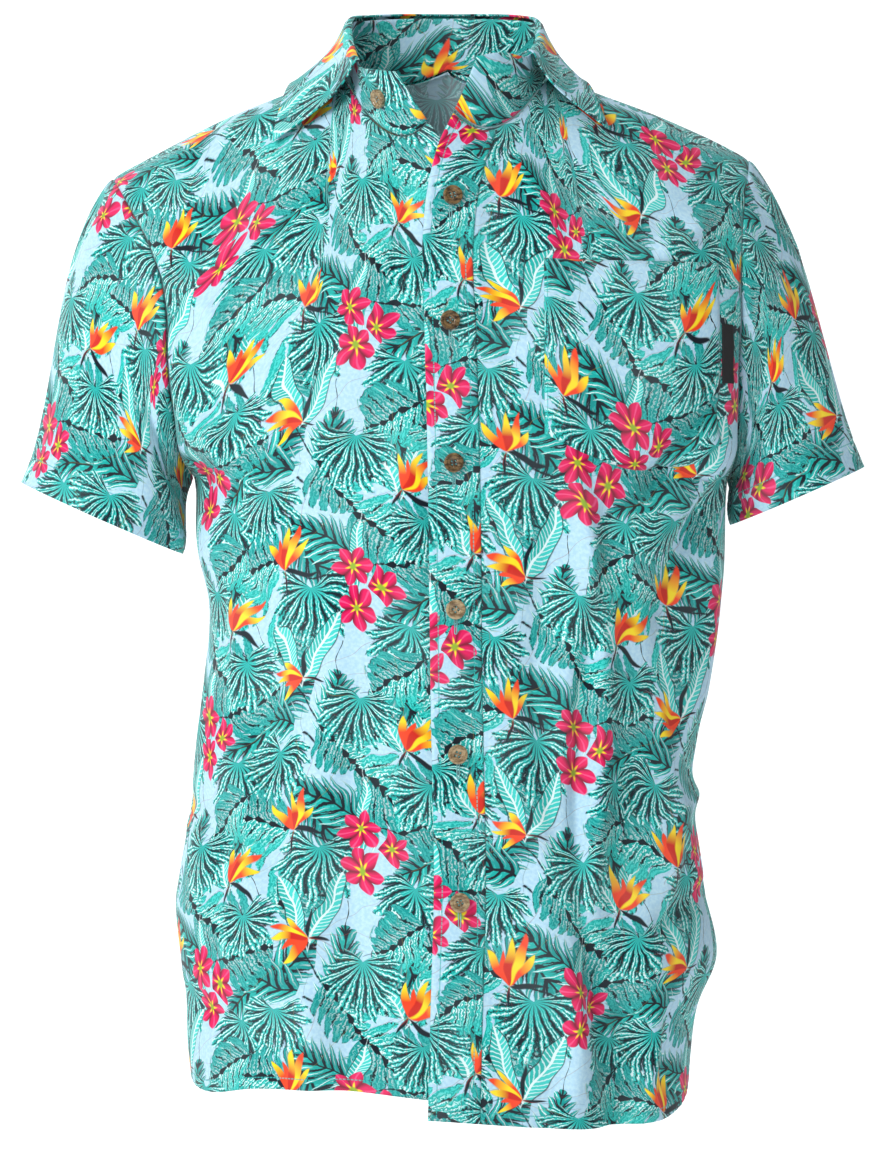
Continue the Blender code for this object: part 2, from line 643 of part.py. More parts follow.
def make_pocket():
    """The chest pocket, its back following the left front's facets."""
    ends = row_at(LEFT, np.full(2, POCKET["column"]), (POCKET_BOTTOM["height"][0], POCKET["top"]))
    inner, outer = [column_through(LEFT, np.full(2, POCKET[edge]), ends) for edge in ("inner", "outer")]
    own = between(panel_columns(LEFT, FRONT), inner.max(), outer.min())
    bottom_u, top_u = halved([inner, *[np.full(2, column) for column in own], outer]).T
    along = np.linspace(0, 1, len(top_u))
    bottom = row_at(LEFT, bottom_u, smooth(POCKET_BOTTOM["along"], POCKET_BOTTOM["height"], along))
    top = row_at(LEFT, top_u, np.full_like(along, POCKET["top"]))
    own = between(PANEL_ROWS, bottom.max(), top.min())
    rows = halved([np.full_like(top, row) for row in own])
    share = np.linspace(0, 1, POCKET_END_ROWS + 1)[:-1, None]
    v = np.concatenate([bottom + (rows[0] - bottom) * share, rows, (top + (rows[-1] - top) * share)[::-1]])
    u = bottom_u + (top_u - bottom_u) * (v - bottom) / (top - bottom)
    points, normals = faceted(LEFT, FRONT, u, v)
    back = points + normals * (POCKET_LIFT + rise_between(u, v, points, normals))
    return wall_solid("pocket", back + normals * TRIM_WALL, back)


def make_tab():
    """The short woven tab caught in the pocket's outer seam."""
    heights = np.linspace(TAB["bottom"], TAB["top"], 5)
    v = row_at(LEFT, np.full(5, 0.85), heights)
    edges = [column_through(LEFT, np.full(5, TAB[edge]), v) for edge in ("inner", "outer")]
    points, normals = faceted(LEFT, FRONT, np.stack(edges, -1), np.stack([v, v], -1))
    inner = points + normals * POCKET_LIFT
    return wall_solid("side_tab", inner + normals * TAB["wall"] * MM, inner)


def make_button(name, seat, normal):
    """A round button with softened edges, its back on the seat."""
    mesh_data = bmesh.new()
    bmesh.ops.create_cone(
        mesh_data,
        cap_ends=True,
        segments=BUTTON_SIDES,
        radius1=BUTTON_DIAMETER / 2,
        radius2=BUTTON_DIAMETER / 2,
        depth=BUTTON_THICKNESS,
    )
    rims = [edge for edge in mesh_data.edges if abs(edge.verts[0].co.z - edge.verts[1].co.z) < SEAM_GAP]
    bmesh.ops.bevel(
        mesh_data, geom=rims, offset=BUTTON_EDGE, segments=2, profile=0.5, affect="EDGES", material=-1
    )
    turn = Vector(normal).to_track_quat("Z", "Y").to_matrix().to_4x4()
    centre = Vector(seat) + Vector(normal) * BUTTON_THICKNESS / 2
    bmesh.ops.transform(mesh_data, matrix=Matrix.Translation(centre) @ turn, verts=mesh_data.verts)
    bmesh.ops.triangulate(mesh_data, faces=mesh_data.faces)
    bmesh.ops.recalc_face_normals(mesh_data, faces=mesh_data.faces)
    return finish_object(name, mesh_data)


def make_front_buttons():
    """Six buttons down the middle of the placket."""
    levels = np.linspace(0, 2, 401)
    edge = panel(LEFT, FRONT, np.zeros_like(levels), levels)[0][:, 2] / MM
    for number, height in enumerate(BUTTON_HEIGHTS, 1):
        v = np.array([np.interp(height, edge, levels)])
        u = column_at(LEFT, v, PLACKET_WIDTH / 2)
        points, normals = panel(LEFT, FRONT, u, v)
        seat = points[0] + normals[0] * (SEAM_GAP + TRIM_WALL + BUTTON_LIFT)
        make_button(f"button_{number}", seat, normals[0])


def make_stand_button():
    """The undone top button, on the outside of the stand's right end."""
    place = stand_columns()
    outer, normals = stand_surface(place)
    level = STAND_BUTTON["level"] * (len(outer) - 1)
    number = int(np.argmin(abs(place - STAND_BUTTON["place"])))
    row = int(level)
    share = level - row
    seat = outer[row, number] * (1 - share) + outer[row + 1, number] * share
    normal = normals[row, number]
    make_button("button_stand", seat + normal * BUTTON_LIFT, normal)


def main():
    for old in list(bpy.data.objects):
        bpy.data.objects.remove(old)
    make_front(RIGHT, "right_front")
    make_front(LEFT, "left_front")
    make_back()
    make_sleeve(RIGHT, "right_sleeve")
    make_sleeve(LEFT, "left_sleeve")
    make_stand()
    make_leaf()
    make_placket()
    make_pocket()
    make_tab()
    make_front_buttons()
    make_stand_button()


main()
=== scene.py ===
"""The looks of a men's short-sleeved shirt in printed cotton, filled out with nobody in it.

Metres, +Z up, the front facing -Y, the wearer's right at -X. Each cloth piece is a thin sheet on its solid's form,
with the creases placed one by one. Its UV map "cut" is the flat cut in metres, and the print lies on that.
"""

import math

import bmesh
import bpy
import numpy as np
from mathutils import Euler, Matrix, Vector


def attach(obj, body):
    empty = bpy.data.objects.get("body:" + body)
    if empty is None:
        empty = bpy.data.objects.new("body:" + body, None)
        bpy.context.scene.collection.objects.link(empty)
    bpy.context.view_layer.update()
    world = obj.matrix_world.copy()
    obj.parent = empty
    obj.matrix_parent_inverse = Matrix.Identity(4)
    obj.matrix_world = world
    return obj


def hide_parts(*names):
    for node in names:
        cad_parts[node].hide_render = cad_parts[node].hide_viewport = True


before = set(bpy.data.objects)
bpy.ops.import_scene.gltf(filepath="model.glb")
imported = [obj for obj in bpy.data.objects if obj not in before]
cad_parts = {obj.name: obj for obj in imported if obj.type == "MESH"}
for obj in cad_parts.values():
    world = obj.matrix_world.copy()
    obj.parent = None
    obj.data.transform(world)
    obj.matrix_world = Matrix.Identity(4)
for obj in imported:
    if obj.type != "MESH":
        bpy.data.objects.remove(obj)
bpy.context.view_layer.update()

MM = 0.001
SEAM_GAP = 0.3 * MM
SMALL_STEP = 0.002
BISECTIONS = 24
RIGHT, LEFT = -1, 1
FRONT, BACK = -1, 1
QUARTERS = ((RIGHT, FRONT), (RIGHT, BACK), (LEFT, BACK), (LEFT, FRONT))  # the half panels in order round the neck

UNDERARM = -262.0  # the height where side seam and sleeve meet, in millimetres
FRONT_FULLNESS = 2.35  # exponents of the rounded sections: 2 is an ellipse, more is squarer
BACK_FULLNESS = 2.25
SHOULDER_FULLNESS = 2.3
NECK_FULLNESS = 1.0  # how much squarer the chest rises in the middle, under the neck
FAN = 1.4  # how far the columns spread from the chest to the shoulder
SHOULDER_OPENING = 0.4  # how much less round the sections are at the shoulder than at the chest
BACK_MIDDLE_X = -6.0
MIDDLE_REACH = 0.4  # how far the front edge's shape fades into the panel
ARMHOLE_REACH = 1.8  # how quickly the armhole's shape fades into the panel
SHOULDER_BULGE = 4.0  # how far the shoulder seam stands above a straight line

LEAF_ROLL = ((-0.9, 1.9), (1.2, 2.6), (3.4, 0.6))  # over the stand's top edge: out and up, in millimetres
LEAF_LEAVES = (0.35, 0.9)  # how far out and down the leaf leaves the roll

# Half widths to the side seams, in millimetres.
SIDE_SEAMS = {
    "height": (-690, -655, -620, -590, -550, -510, -475, -440, -395, -350, -311, -262),
    RIGHT: (180, 185, 187, 190, 193, 187, 182, 179, 174, 171, 178, 181),
    LEFT: (159, 161, 166, 178, 172, 166, 160, 165, 172, 177, 183, 185),
}

# The free edge of each front, from the hem to the collar stand: x of the edge, and how far forward it lies.
FRONT_EDGES = {
    "height": (-690, -610, -540, -409, -253, -165, -104, -70, -41, -24, 0),
    RIGHT: (11, 13, 14, 12, 9, 7, 5, 0, -12, -24, -38),
    LEFT: (-20, -18, -16, -18, -20, -22, -23, -19, -11, -3, 8),
    "forward": (132, 131, 129, 128, 132, 130, 125, 121, 115, 106, 90),
}
UNDERLAP = 5.0  # how far the right front lies behind the left front

# The middle of the back, from the hem to the neck seam.
BACK_MIDDLE = {
    "height": (-690, -550, -450, -350, -262, -190, -120, -60, 0, 28, 50),
    "backward": (118, 117, 112, 111, 116, 119, 114, 99, 68, 50, 32),
}

# The armhole seams: distance out, and distance from the seam line on top of the shoulder.
ARMHOLES = {
    RIGHT: {
        "height": (-262, -250, -220, -185, -152, -132, -115, -101, -88, -74, -62, -54),
        "out": (181, 186, 190, 194, 195, 198, 204, 210, 217, 225, 232, 238),
        FRONT: (0, 34, 60, 71, 72, 69, 64, 57, 49, 38, 25, 0),
        BACK: (0, 32, 56, 67, 69, 67, 63, 57, 49, 39, 26, 0),
    },
    LEFT: {
        "height": (-262, -251, -222, -188, -155, -132, -112, -95, -80, -66, -53, -41),
        "out": (185, 187, 188, 188, 190, 190, 191, 192, 194, 196, 199, 202),
        FRONT: (0, 34, 60, 71, 72, 69, 64, 57, 49, 38, 25, 0),
        BACK: (0, 32, 56, 67, 69, 67, 63, 57, 49, 39, 26, 0),
    },
}

# The hem's height along each front, from its free edge to the side seam, and along the back.
HEMS = {
    "along": (0.0, 0.25, 0.5, 0.7, 0.88, 1.0),
    (RIGHT, FRONT): (-672, -665, -667, -674, -673, -668),
    (LEFT, FRONT): (-682, -688, -690, -688, -679, -665),
    (RIGHT, BACK): (-684, -684, -682, -678, -672, -668),
    (LEFT, BACK): (-684, -684, -682, -678, -670, -665),
}

# The neck seam seen from above: a rounded outline about the middle of the neck.
NECK = {"middle": -9.0, "half_width": 73.0, FRONT: 105.0, BACK: 50.0, "fullness": 2.3}
SIDE_NECK_HEIGHTS = {RIGHT: 17.0, LEFT: 14.0}  # where the neck seam crosses the shoulder seams

# The collar's fold above the neck seam, from the right front end round the back to the left front end.
COLLAR_FOLD = {
    "place": (0, 0.2, 0.4, 0.6, 0.8, 1.0, 1.35, 1.7, 2.0, 2.3, 2.65, 3.0, 3.2, 3.4, 3.6, 3.8, 4.0),
    "x": (-41, -56, -65, -70, -73, -73, -62, -36, -9, 18, 44, 55, 55, 53, 46, 30, 13),
    "y": (-110, -100, -78, -50, -20, 5, 30, 46, 51, 46, 30, 5, -20, -50, -79, -102, -112),
    "z": (2, 5, 10, 24, 41, 53, 60, 64, 65, 64, 60, 52, 41, 28, 17, 16, 12),
}

SLEEVE_START = (0.62, 0.78)  # how far out and how far down a sleeve leaves the armhole
SLEEVE_FLARE = 0.9

# The collar leaf's outer edge: u and v on the half panel beneath it, and how far it stands off the panel.
LEAF_EDGE = {
    "place": (0.42, 0.55, 0.7, 0.85, 1.0, 1.2, 1.4, 1.65, 2.0, 2.35, 2.6, 2.8, 3.0, 3.15, 3.3, 3.45, 3.58),
    "u": (0.49, 0.48, 0.465, 0.45, 0.43, 0.41, 0.36, 0.2, 0.0, 0.2, 0.36, 0.41, 0.43, 0.45, 0.46, 0.47, 0.48),
    "v": (1.64, 1.72, 1.82, 1.92, 2.0, 1.93, 1.89, 1.89, 1.9, 1.89, 1.89, 1.93, 2.0, 1.92, 1.83, 1.74, 1.66),
    "lift": (4, 4, 4, 4, 4, 4, 5, 6, 7, 6, 5, 4, 4, 4, 4, 4, 4),
}

# The largest folds of the fronts and the back, as soft ridges (or troughs, below zero) down the panels: x at
# the top, drift of x down to the hem, where the fold starts, its half width and its height.
FOLDS = {
    "columns": ("side", "face", "x", "drift", "top", "half_width", "rise"),
    "rows": (
        (LEFT, FRONT, 84, -4, -270, 16, 6.0),
        (LEFT, FRONT, 104, 0, -300, 12, -4.5),
        (LEFT, FRONT, 128, 4, -520, 12, 4.0),
        (RIGHT, FRONT, -112, 8, -330, 16, 3.5),
        (RIGHT, FRONT, -78, 6, -300, 14, -3.0),
        (RIGHT, BACK, -96, 6, -300, 18, 5.0),
        (RIGHT, BACK, -52, 2, -360, 16, -4.0),
        (LEFT, BACK, 62, -4, -280, 18, 5.0),
        (LEFT, BACK, 104, -4, -380, 16, -4.0),
    ),
}
FOLD_FADE = 120.0  # the height over which a fold comes in

# Each cuff: its outer and inner corner, and how deep the opening is.
CUFFS = {
    RIGHT: {"outer": (-299, -264), "inner": (-189, -313), "middle": -6, "half_depth": 62},
    LEFT: {"outer": (280, -253), "inner": (189, -293), "middle": 0, "half_depth": 66},
}


CREASE_SCALE = 2.6  # how much deeper the creases lie than their table says, for a crisp light cotton
CREASE_BOW = 0.05  # how far a crease bows sideways, as a share of its length
CREASE_ENDS = 0.12  # how far past its ends a crease dies out, and over what share it fades
CREASE_RAMP = 0.36
CREASE_SHARPNESS = 1.6
NECK_SHARE = 0.42  # the share of a panel's columns that end at the neck seam
CALM_EDGE = 0.12  # how near the front edge and the seams the creases fade
CALM_SEAM = 0.05
SLEEVE_DOWN = 76
SLEEVE_WAVE = (60, 40, 0.8)  # how a sleeve's waviness runs round it, in millimetres, and its share
SLEEVE_CALM = 14  # how far below the armhole the creases come in, in millimetres
STAND_SWELL = 1.5 * MM
STAND_CLEAR = 0.4 * MM  # how far the stand keeps above and inside the neck seam
STAND_COLUMNS = 240
STAND_DOWN = 18
LEAF_COLUMNS = 210
LEAF_DOWN = 26
LEAF_ARRIVES = 0.25  # how far outwards the leaf comes to its edge
LEAF_WAVE = 0.5 * MM
LEAF_EDGE_ROLL = 0.6
ROLL_ROWS = 8
COLLAR_SHEET = 1.1 * MM
PLACKET_WIDTH = 34.0 * MM
PLACKET_TOP = 1.985
PLACKET_COLUMNS = 26
PLACKET_LIFT = 1.15 * MM
EDGE_LIFT = 0.35  # the share of its lift that a sewn-on piece keeps at its edge
PLACKET_PULL = {"height": 0.12 * MM, "length": 21.0 * MM}
PLACKET_STITCHES = (5.5 * MM, 29.0 * MM)
POCKET = {"inner": 56.0, "outer": 173.0, "top": -121.0}
POCKET_BOTTOM = {"along": (0, 0.25, 0.5, 0.8, 1.0), "height": (-236, -250, -259, -256, -240)}
POCKET_COLUMNS = 46
POCKET_ROWS = 50
POCKET_LIFT = 1.3 * MM
POCKET_SAG = -1.5  # how far the pocket's top edge dips in its middle, in millimetres
POCKET_GAPE = 1.6 * MM
POCKET_BAND = 25.0 * MM
TAB = {"inner": 174.5, "outer": 181.5, "top": -162.0, "bottom": -201.0}
TAB_LIFT = 1.4 * MM
TAB_SHEET = 0.8 * MM
TAB_COLUMNS = 8
TAB_ROWS = 40
SEEKS = 14  # steps, their size and the share of each that is taken, in finding a place on the front
SEEK_STEP = 0.004
SEEK_SHARE = 0.8
BUTTON = {
    "radius": 6.4 * MM,
    "thickness": 2.9 * MM,
    "round": 0.5 * MM,
    "rim": 1.1 * MM,
    "slope": 0.5 * MM,
    "dish": 0.55 * MM,
    "hollow": (0.6 * MM, -0.1 * MM),
    "hole": 0.75 * MM,
    "spacing": 1.25 * MM,
}
BUTTON_HEIGHTS = (-75.0, -160.0, -255.0, -350.0, -444.0, -540.0)
BUTTON_TURNS = (20, 14, 52, 8, 38, 70, 26)
PALE_BUTTONS = (0, 4, 5, 6)  # counted from the stand button, which is 0
STAND_BUTTON = {"place": 0.3, "level": 0.55, "lift": 0.5 * MM}
FRONT_BUTTON_LIFT = 0.45 * MM  # how far a front button's back stands off the placket
STRAND = {"apart": 0.22 * MM, "radius": 0.24 * MM, "reach": 2.3, "rise": 0.12 * MM, "fall": 0.5 * MM}
SHANK = {"foot": 1.3 * MM, "top": 1.1 * MM, "length": 1.2 * MM, "below": 0.3 * MM}
WORKED = {"radius": 0.42 * MM, "half_width": 0.75 * MM, "flatness": 0.7}  # a buttonhole's stitches
QUARTER_TURN = Matrix.Rotation(math.radians(90), 4, "X")
SHARP_ANGLE = 35
BUTTONHOLE = 12.5 * MM
BUTTONHOLE_DROP = 9.0
THREAD = 0.5  # the weave's pitch, in millimetres
STITCH_LENGTH = 2.6
STUDIO = {"half_width": 5.0, "height": 5.0, "back": 2.6, "floor": -0.86}
LIGHTS = {"key": 62.0, "fill": 3.0, "overhead": 15.0, "rear": 30.0, "air": 0.24, "floor": 0.3}
CAMERA = {"x": -0.0148, "z": -0.3315, "distance": 2.2, "view_height": 0.801}

# Each cloth piece: the node it stands for, where the print starts on it and its rows of stitching, in millimetres,
# and its flat cut's width, length and area in metres and square metres. The tab is too narrow to be a sheet.
SHEET_COLUMNS = ("node", "print", "lines", "flat", "area")
HEM, CUFF, STAND_LINE, LEAF_LINE = (("v", 7.5),), (("v", 19.0),), (("v", 2.5),), (("v", 5.0),)
PLACKET_LINES = (("u", 5.5), ("u", 29.0), *HEM)
SHEETS = {
    "right_front_cloth": ("right_front", (18, 40), HEM, (0.322, 0.736), 0.171),
    "left_front_cloth": ("left_front", (96, 118), HEM, (0.301, 0.765), 0.178),
    "back_cloth": ("back", (60, 20), HEM, (0.524, 0.753), 0.328),
    "right_sleeve_cloth": ("right_sleeve", (33, 77), CUFF, (0.430, 0.221), 0.058),
    "left_sleeve_cloth": ("left_sleeve", (80, 10), CUFF, (0.430, 0.227), 0.051),
    "collar_stand_cloth": ("collar_stand", (10, 130), STAND_LINE, (0.420, 0.046), 0.0175),
    "collar_leaf_cloth": ("collar_leaf", (47, 63), LEAF_LINE, (0.463, 0.076), 0.0235),
    "placket_cloth": ("placket", (70, 150), PLACKET_LINES, (0.034, 0.67), None),
    "pocket_cloth": ("pocket", (5, 92), (("u", 2.0),), (0.130, 0.142), 0.017),
    "side_tab_tape": ("side_tab", None, None, None, None),
}
ON_FRONT = ("placket_cloth", "pocket_cloth", "side_tab_tape")
for name, columns in SHEETS.items():
    SHEETS[name] = row = dict(zip(SHEET_COLUMNS, columns))
    row["held"] = "laid" if name in ON_FRONT else "hung"
    row["rests_on"] = ["left_front_cloth"] if name in ON_FRONT else ["collar_stand_cloth"]
    row["inside"] = not name.startswith(("collar", "placket"))
    row["slot"] = "woven_tab" if name == "side_tab_tape" else "print_cotton"
SHEETS["collar_stand_cloth"]["rests_on"] = ["back_cloth"]

def smooth(keys, values, at):
    """Reads a column at any place, along a smooth curve through its values."""
    keys = np.asarray(keys, float)
    values = np.asarray(values, float)
    slopes = np.gradient(values, keys)
    first = np.clip(np.searchsorted(keys, at) - 1, 0, len(keys) - 2)
    span = keys[first + 1] - keys[first]
    t = np.clip((at - keys[first]) / span, 0, 1)
    rise = values[first + 1] - values[first]
    start = slopes[first] * span
    end = slopes[first + 1] * span
    return values[first] + t * (start + t * (3 * rise - 2 * start - end + t * (start + end - 2 * rise)))


def side_shares(face, u, opening=0.0):
    """How far across and how far back a rounded section is at u, each from 0 to 1. With an opening, the
    section stops short of the quarter turn."""
    fullness = FRONT_FULLNESS if face == FRONT else BACK_FULLNESS
    turn = (1 - opening) * math.pi / 2
    across = np.sin(u * turn) / np.sin(turn)
    return across ** (2 / fullness), np.clip(np.cos(u * turn), 0, 1) ** (2 / fullness)


def middle_edge(side, face, height):
    """The inner edge of a half panel at a height: its x and its y."""
    if face == BACK:
        return np.full_like(height, BACK_MIDDLE_X), smooth(BACK_MIDDLE["height"], BACK_MIDDLE["backward"], height)
    forward = smooth(FRONT_EDGES["height"], FRONT_EDGES["forward"], height)
    behind = UNDERLAP if side == RIGHT else 0.0
    return smooth(FRONT_EDGES["height"], FRONT_EDGES[side], height), behind - forward


def below_underarm(side, face, u, low):
    """A half panel from the hem (low = 0) to the underarm (low = 1), in millimetres."""
    hem = smooth(HEMS["along"], HEMS[side, face], u)
    height = hem + (UNDERARM - hem) * low
    half = side * smooth(SIDE_SEAMS["height"], SIDE_SEAMS[side], height)
    middle_x, middle_y = middle_edge(side, face, height)
    across, back = side_shares(face, u)
    return np.stack([middle_x + (half - middle_x) * across, middle_y * back, height], -1)


def uncorrected(side, face, u, rise):
    """A half panel from the underarm (rise = 0) over the chest to the line along the top of the shoulder
    (rise = 1), before its edges are moved to the front edge and the armhole."""
    h = np.sin(rise * math.pi / 2)
    across, back = side_shares(face, u, SHOULDER_OPENING * h**2)
    middle_x, middle_y = middle_edge(side, face, np.full_like(u, UNDERARM))
    armhole = ARMHOLES[side]
    chest_x = middle_x + (side * armhole["out"][0] - middle_x) * across
    tip_x, tip_z = side * armhole["out"][-1], armhole["height"][-1]
    top_x = NECK["middle"] + (tip_x - NECK["middle"]) * across**FAN
    inward = (tip_x - top_x) / (tip_x - NECK["middle"] - side * NECK["half_width"])
    bulge = SHOULDER_BULGE * np.sin(math.pi * np.clip(inward, 0, 1))
    top_z = tip_z + (SIDE_NECK_HEIGHTS[side] - tip_z) * inward + bulge
    fullness = SHOULDER_FULLNESS + NECK_FULLNESS * (1 - u) ** 8
    over = np.clip(1 - h**fullness, 0, 1) ** (1 / fullness)
    return np.stack(
        [
            chest_x + (top_x - chest_x) * h**2,
            middle_y * back * over,
            UNDERARM + (top_z - UNDERARM) * h,
        ],
        -1,
    )


def above_underarm(side, face, u, rise):
    """A half panel above the underarm, with its inner edge on the front edge or the middle of the back and
    its outer edge on the armhole."""
    points = uncorrected(side, face, u, rise)
    at_middle = uncorrected(side, face, np.zeros_like(u), rise)
    middle_x, middle_y = middle_edge(side, face, at_middle[..., 2])
    near = np.clip(1 - u / MIDDLE_REACH, 0, 1) ** 2
    points[..., 0] += (middle_x - at_middle[..., 0]) * near
    points[..., 1] += (middle_y - at_middle[..., 1]) * near
    at_armhole = uncorrected(side, face, np.ones_like(u), rise)
    armhole = ARMHOLES[side]
    out = side * smooth(armhole["height"], armhole["out"], at_armhole[..., 2])
    away = face * smooth(armhole["height"], armhole[face], at_armhole[..., 2])
    points[..., 0] += (out - at_armhole[..., 0]) * u**ARMHOLE_REACH
    points[..., 1] += (away - at_armhole[..., 1]) * u**ARMHOLE_REACH
    return points


def outside_neck(face, points):
    """Positive outside the neck seam's outline, negative within it."""
    across = np.abs(points[..., 0] - NECK["middle"]) / NECK["half_width"]
    along = np.abs(points[..., 1]) / NECK[face]
    return across ** NECK["fullness"] + along ** NECK["fullness"] - 1


def neck_cut(side, face, u):
    """How far up each column goes before it meets the neck seam, as a share of the whole rise."""
    low, high = np.full_like(u, 0.5), np.ones_like(u)
    for _ in range(BISECTIONS):
        middle = (low + high) / 2
        outside = outside_neck(face, above_underarm(side, face, u, middle)) > 0
        low = np.where(outside, middle, low)
        high = np.where(outside, high, middle)
    return high


def half_panel(side, face, u, level):
    """A half panel's outer face, with level running to 2 at the top of the shoulder and no neck cut away."""
    low = below_underarm(side, face, u, np.clip(level, 0, 1))
    high = above_underarm(side, face, u, np.clip(level - 1, 0, 1))
    return np.where(level[..., None] > 1, high, low) * MM


def cut_level(side, face, u, v):
    """Squeezes the rows above the underarm so that v = 2 is the neck seam and the shoulder seam."""
    return np.where(v > 1, 1 + (v - 1) * neck_cut(side, face, u), v)


def fold_relief(side, face, points):
    """How far the folds lift a half panel, in millimetres. They die out at the front edge and the side."""
    relief = np.zeros(points.shape[:-1])
    for row in FOLDS["rows"]:
        fold = dict(zip(FOLDS["columns"], row))
        if (fold["side"], fold["face"]) != (side, face):
            continue
        down = np.clip((fold["top"] - points[..., 2]) / FOLD_FADE, 0, 1)
        reach = (points[..., 0] - fold["x"] - fold["drift"] * down) / fold["half_width"]
        relief += fold["rise"] * down**2 * (3 - 2 * down) * np.exp(-(reach**2))
    return relief


def panel(side, face, u, v):
    """A half panel's outer face and its normal, in metres. u runs from its inner edge to the side seam and
    armhole, and v from the hem (0) to the underarm (1) and on to the neck and shoulder seams (2)."""
    u, v = np.broadcast_arrays(np.clip(u, 0.0, 1.0), np.clip(v, 0.0, 2.0))
    level = cut_level(side, face, u, v)
    before, after = np.clip(u - SMALL_STEP, 0, 1), np.clip(u + SMALL_STEP, 0, 1)
    along = half_panel(side, face, after, level) - half_panel(side, face, before, level)
    under, over = np.clip(level - SMALL_STEP, 0, 2), np.clip(level + SMALL_STEP, 0, 2)
    up = half_panel(side, face, u, over) - half_panel(side, face, u, under)
    normal = unit(np.cross(along, up)) * (-side * face)
    points = half_panel(side, face, u, level)
    on_seam = np.abs(points[..., 1]) < SEAM_GAP
    normal[..., 1] = np.where(on_seam, 0.0, normal[..., 1])
    normal = unit(normal)
    points[..., 1] += face * SEAM_GAP / 2
    points += normal * fold_relief(side, face, points / MM)[..., None] * MM
    return points, normal


def unit(vectors):
    return vectors / np.maximum(np.linalg.norm(vectors, axis=-1, keepdims=True), 1e-12)


def side_neck(side, face):
    """The u of the column that ends where the neck seam meets the shoulder seam."""
    fullness = FRONT_FULLNESS if face == FRONT else BACK_FULLNESS
    tip_x = side * ARMHOLES[side]["out"][-1]
    across = (NECK["half_width"] / abs(tip_x - NECK["middle"])) ** (1 / FAN)
    turn = (1 - SHOULDER_OPENING) * math.pi / 2
    return math.asin(across ** (fullness / 2) * math.sin(turn)) / turn


def armhole_seam(side, around):
    """The panels' edge round an armhole, from the underarm (0) up the front, over the tip of the shoulder
    (0.5) and down the back: its points, the panels' normals there, and the directions straight off the edge."""
    around = np.asarray(around, float) % 1.0
    front = around <= 0.5
    v = 1 + 2 * np.where(front, around, 1 - around)
    ones = np.ones_like(around)
    found = []
    for face in (FRONT, BACK):
        points, normals = panel(side, face, ones, v)
        higher = half_panel(side, face, ones, np.clip(v + SMALL_STEP, 1, 2))
        lower = half_panel(side, face, ones, np.clip(v - SMALL_STEP, 1, 2))
        along = unit(higher - lower) * -face
        found.append((points, normals, np.cross(normals, along) * -side))
    return [np.where(front[:, None], a, b) for a, b in zip(*found)]


def hermite(start, start_slope, end, end_slope, t):
    """A smooth curve between two points with the slopes given at each."""
    a = 2 * t**3 - 3 * t**2 + 1
    b = t**3 - 2 * t**2 + t
    c = -2 * t**3 + 3 * t**2
    d = t**3 - t**2
    return a * start + b * start_slope + c * end + d * end_slope


def sleeve(side, around, down):
    """A sleeve's outer face, in metres, from the armhole (down = 0) to the cuff (down = 1)."""
    points, _, off = armhole_seam(side, around)
    start = points + off * SEAM_GAP
    cuff = CUFFS[side]
    outer = np.array([cuff["outer"][0], cuff["middle"], cuff["outer"][1]]) * MM
    inner = np.array([cuff["inner"][0], cuff["middle"], cuff["inner"][1]]) * MM
    turn = 2 * math.pi * np.asarray(around, float)[:, None]
    forward = np.array([0.0, -cuff["half_depth"] * MM, 0.0])
    end = (outer + inner) / 2 + (inner - outer) / 2 * np.cos(turn) + forward * np.sin(turn)
    across = outer - inner
    leaving = unit(np.array([side * SLEEVE_START[0], 0.0, -SLEEVE_START[1]]))
    arriving = unit(np.array([side * abs(across[2]), 0.0, -abs(across[0])]))
    length = np.linalg.norm(end - start, axis=-1, keepdims=True)
    return hermite(start, leaving * length, end, arriving * length * SLEEVE_FLARE, down)


def grid_normals(points, closed):
    """The normals of a grid of points, rows by columns, from its neighbours."""
    if closed:
        wide = np.concatenate([points[:, -2:-1], points, points[:, 1:2]], 1)
        across = wide[:, 2:] - wide[:, :-2]
    else:
        across = np.gradient(points, axis=1)
    up = np.gradient(points, axis=0)
    return unit(np.cross(across, up))


def neck_point(place):
    """The neck seam at a place, counted from the right front end (0) over the right shoulder (1), the middle
    of the back (2) and the left shoulder (3) to the left front end (4)."""
    found = np.zeros((len(place), 3))
    for number, (side, face) in enumerate(QUARTERS):
        share = np.clip(place - number, 0, 1)
        share = share if number in (0, 2) else 1 - share
        points, _ = panel(side, face, share * side_neck(side, face), np.full(len(place), 2.0))
        here = (place >= number) & (place <= number + 1)
        found[here] = points[here]
    return found


def fold_point(place):
    """The collar's fold at a place, on the same count."""
    return np.stack([smooth(COLLAR_FOLD["place"], COLLAR_FOLD[axis], place) for axis in "xyz"], -1) * MM


def outward(points):
    """Level directions pointing out of a collar ring."""
    along = np.gradient(points, axis=0)
    return unit(np.stack([along[:, 1], -along[:, 0], np.zeros(len(points))], -1) * -1)


def leaf_edge(place):
    """The leaf's outer edge, a little off the panels beneath it."""
    found = np.zeros((len(place), 3))
    u, v, lift = [smooth(LEAF_EDGE["place"], LEAF_EDGE[column], place) for column in ("u", "v", "lift")]
    for number, (side, face) in enumerate(QUARTERS):
        points, normals = panel(side, face, u, v)
        here = (place >= number) & (place <= number + 1)
        found[here] = (points + normals * lift[:, None] * MM)[here]
    return found


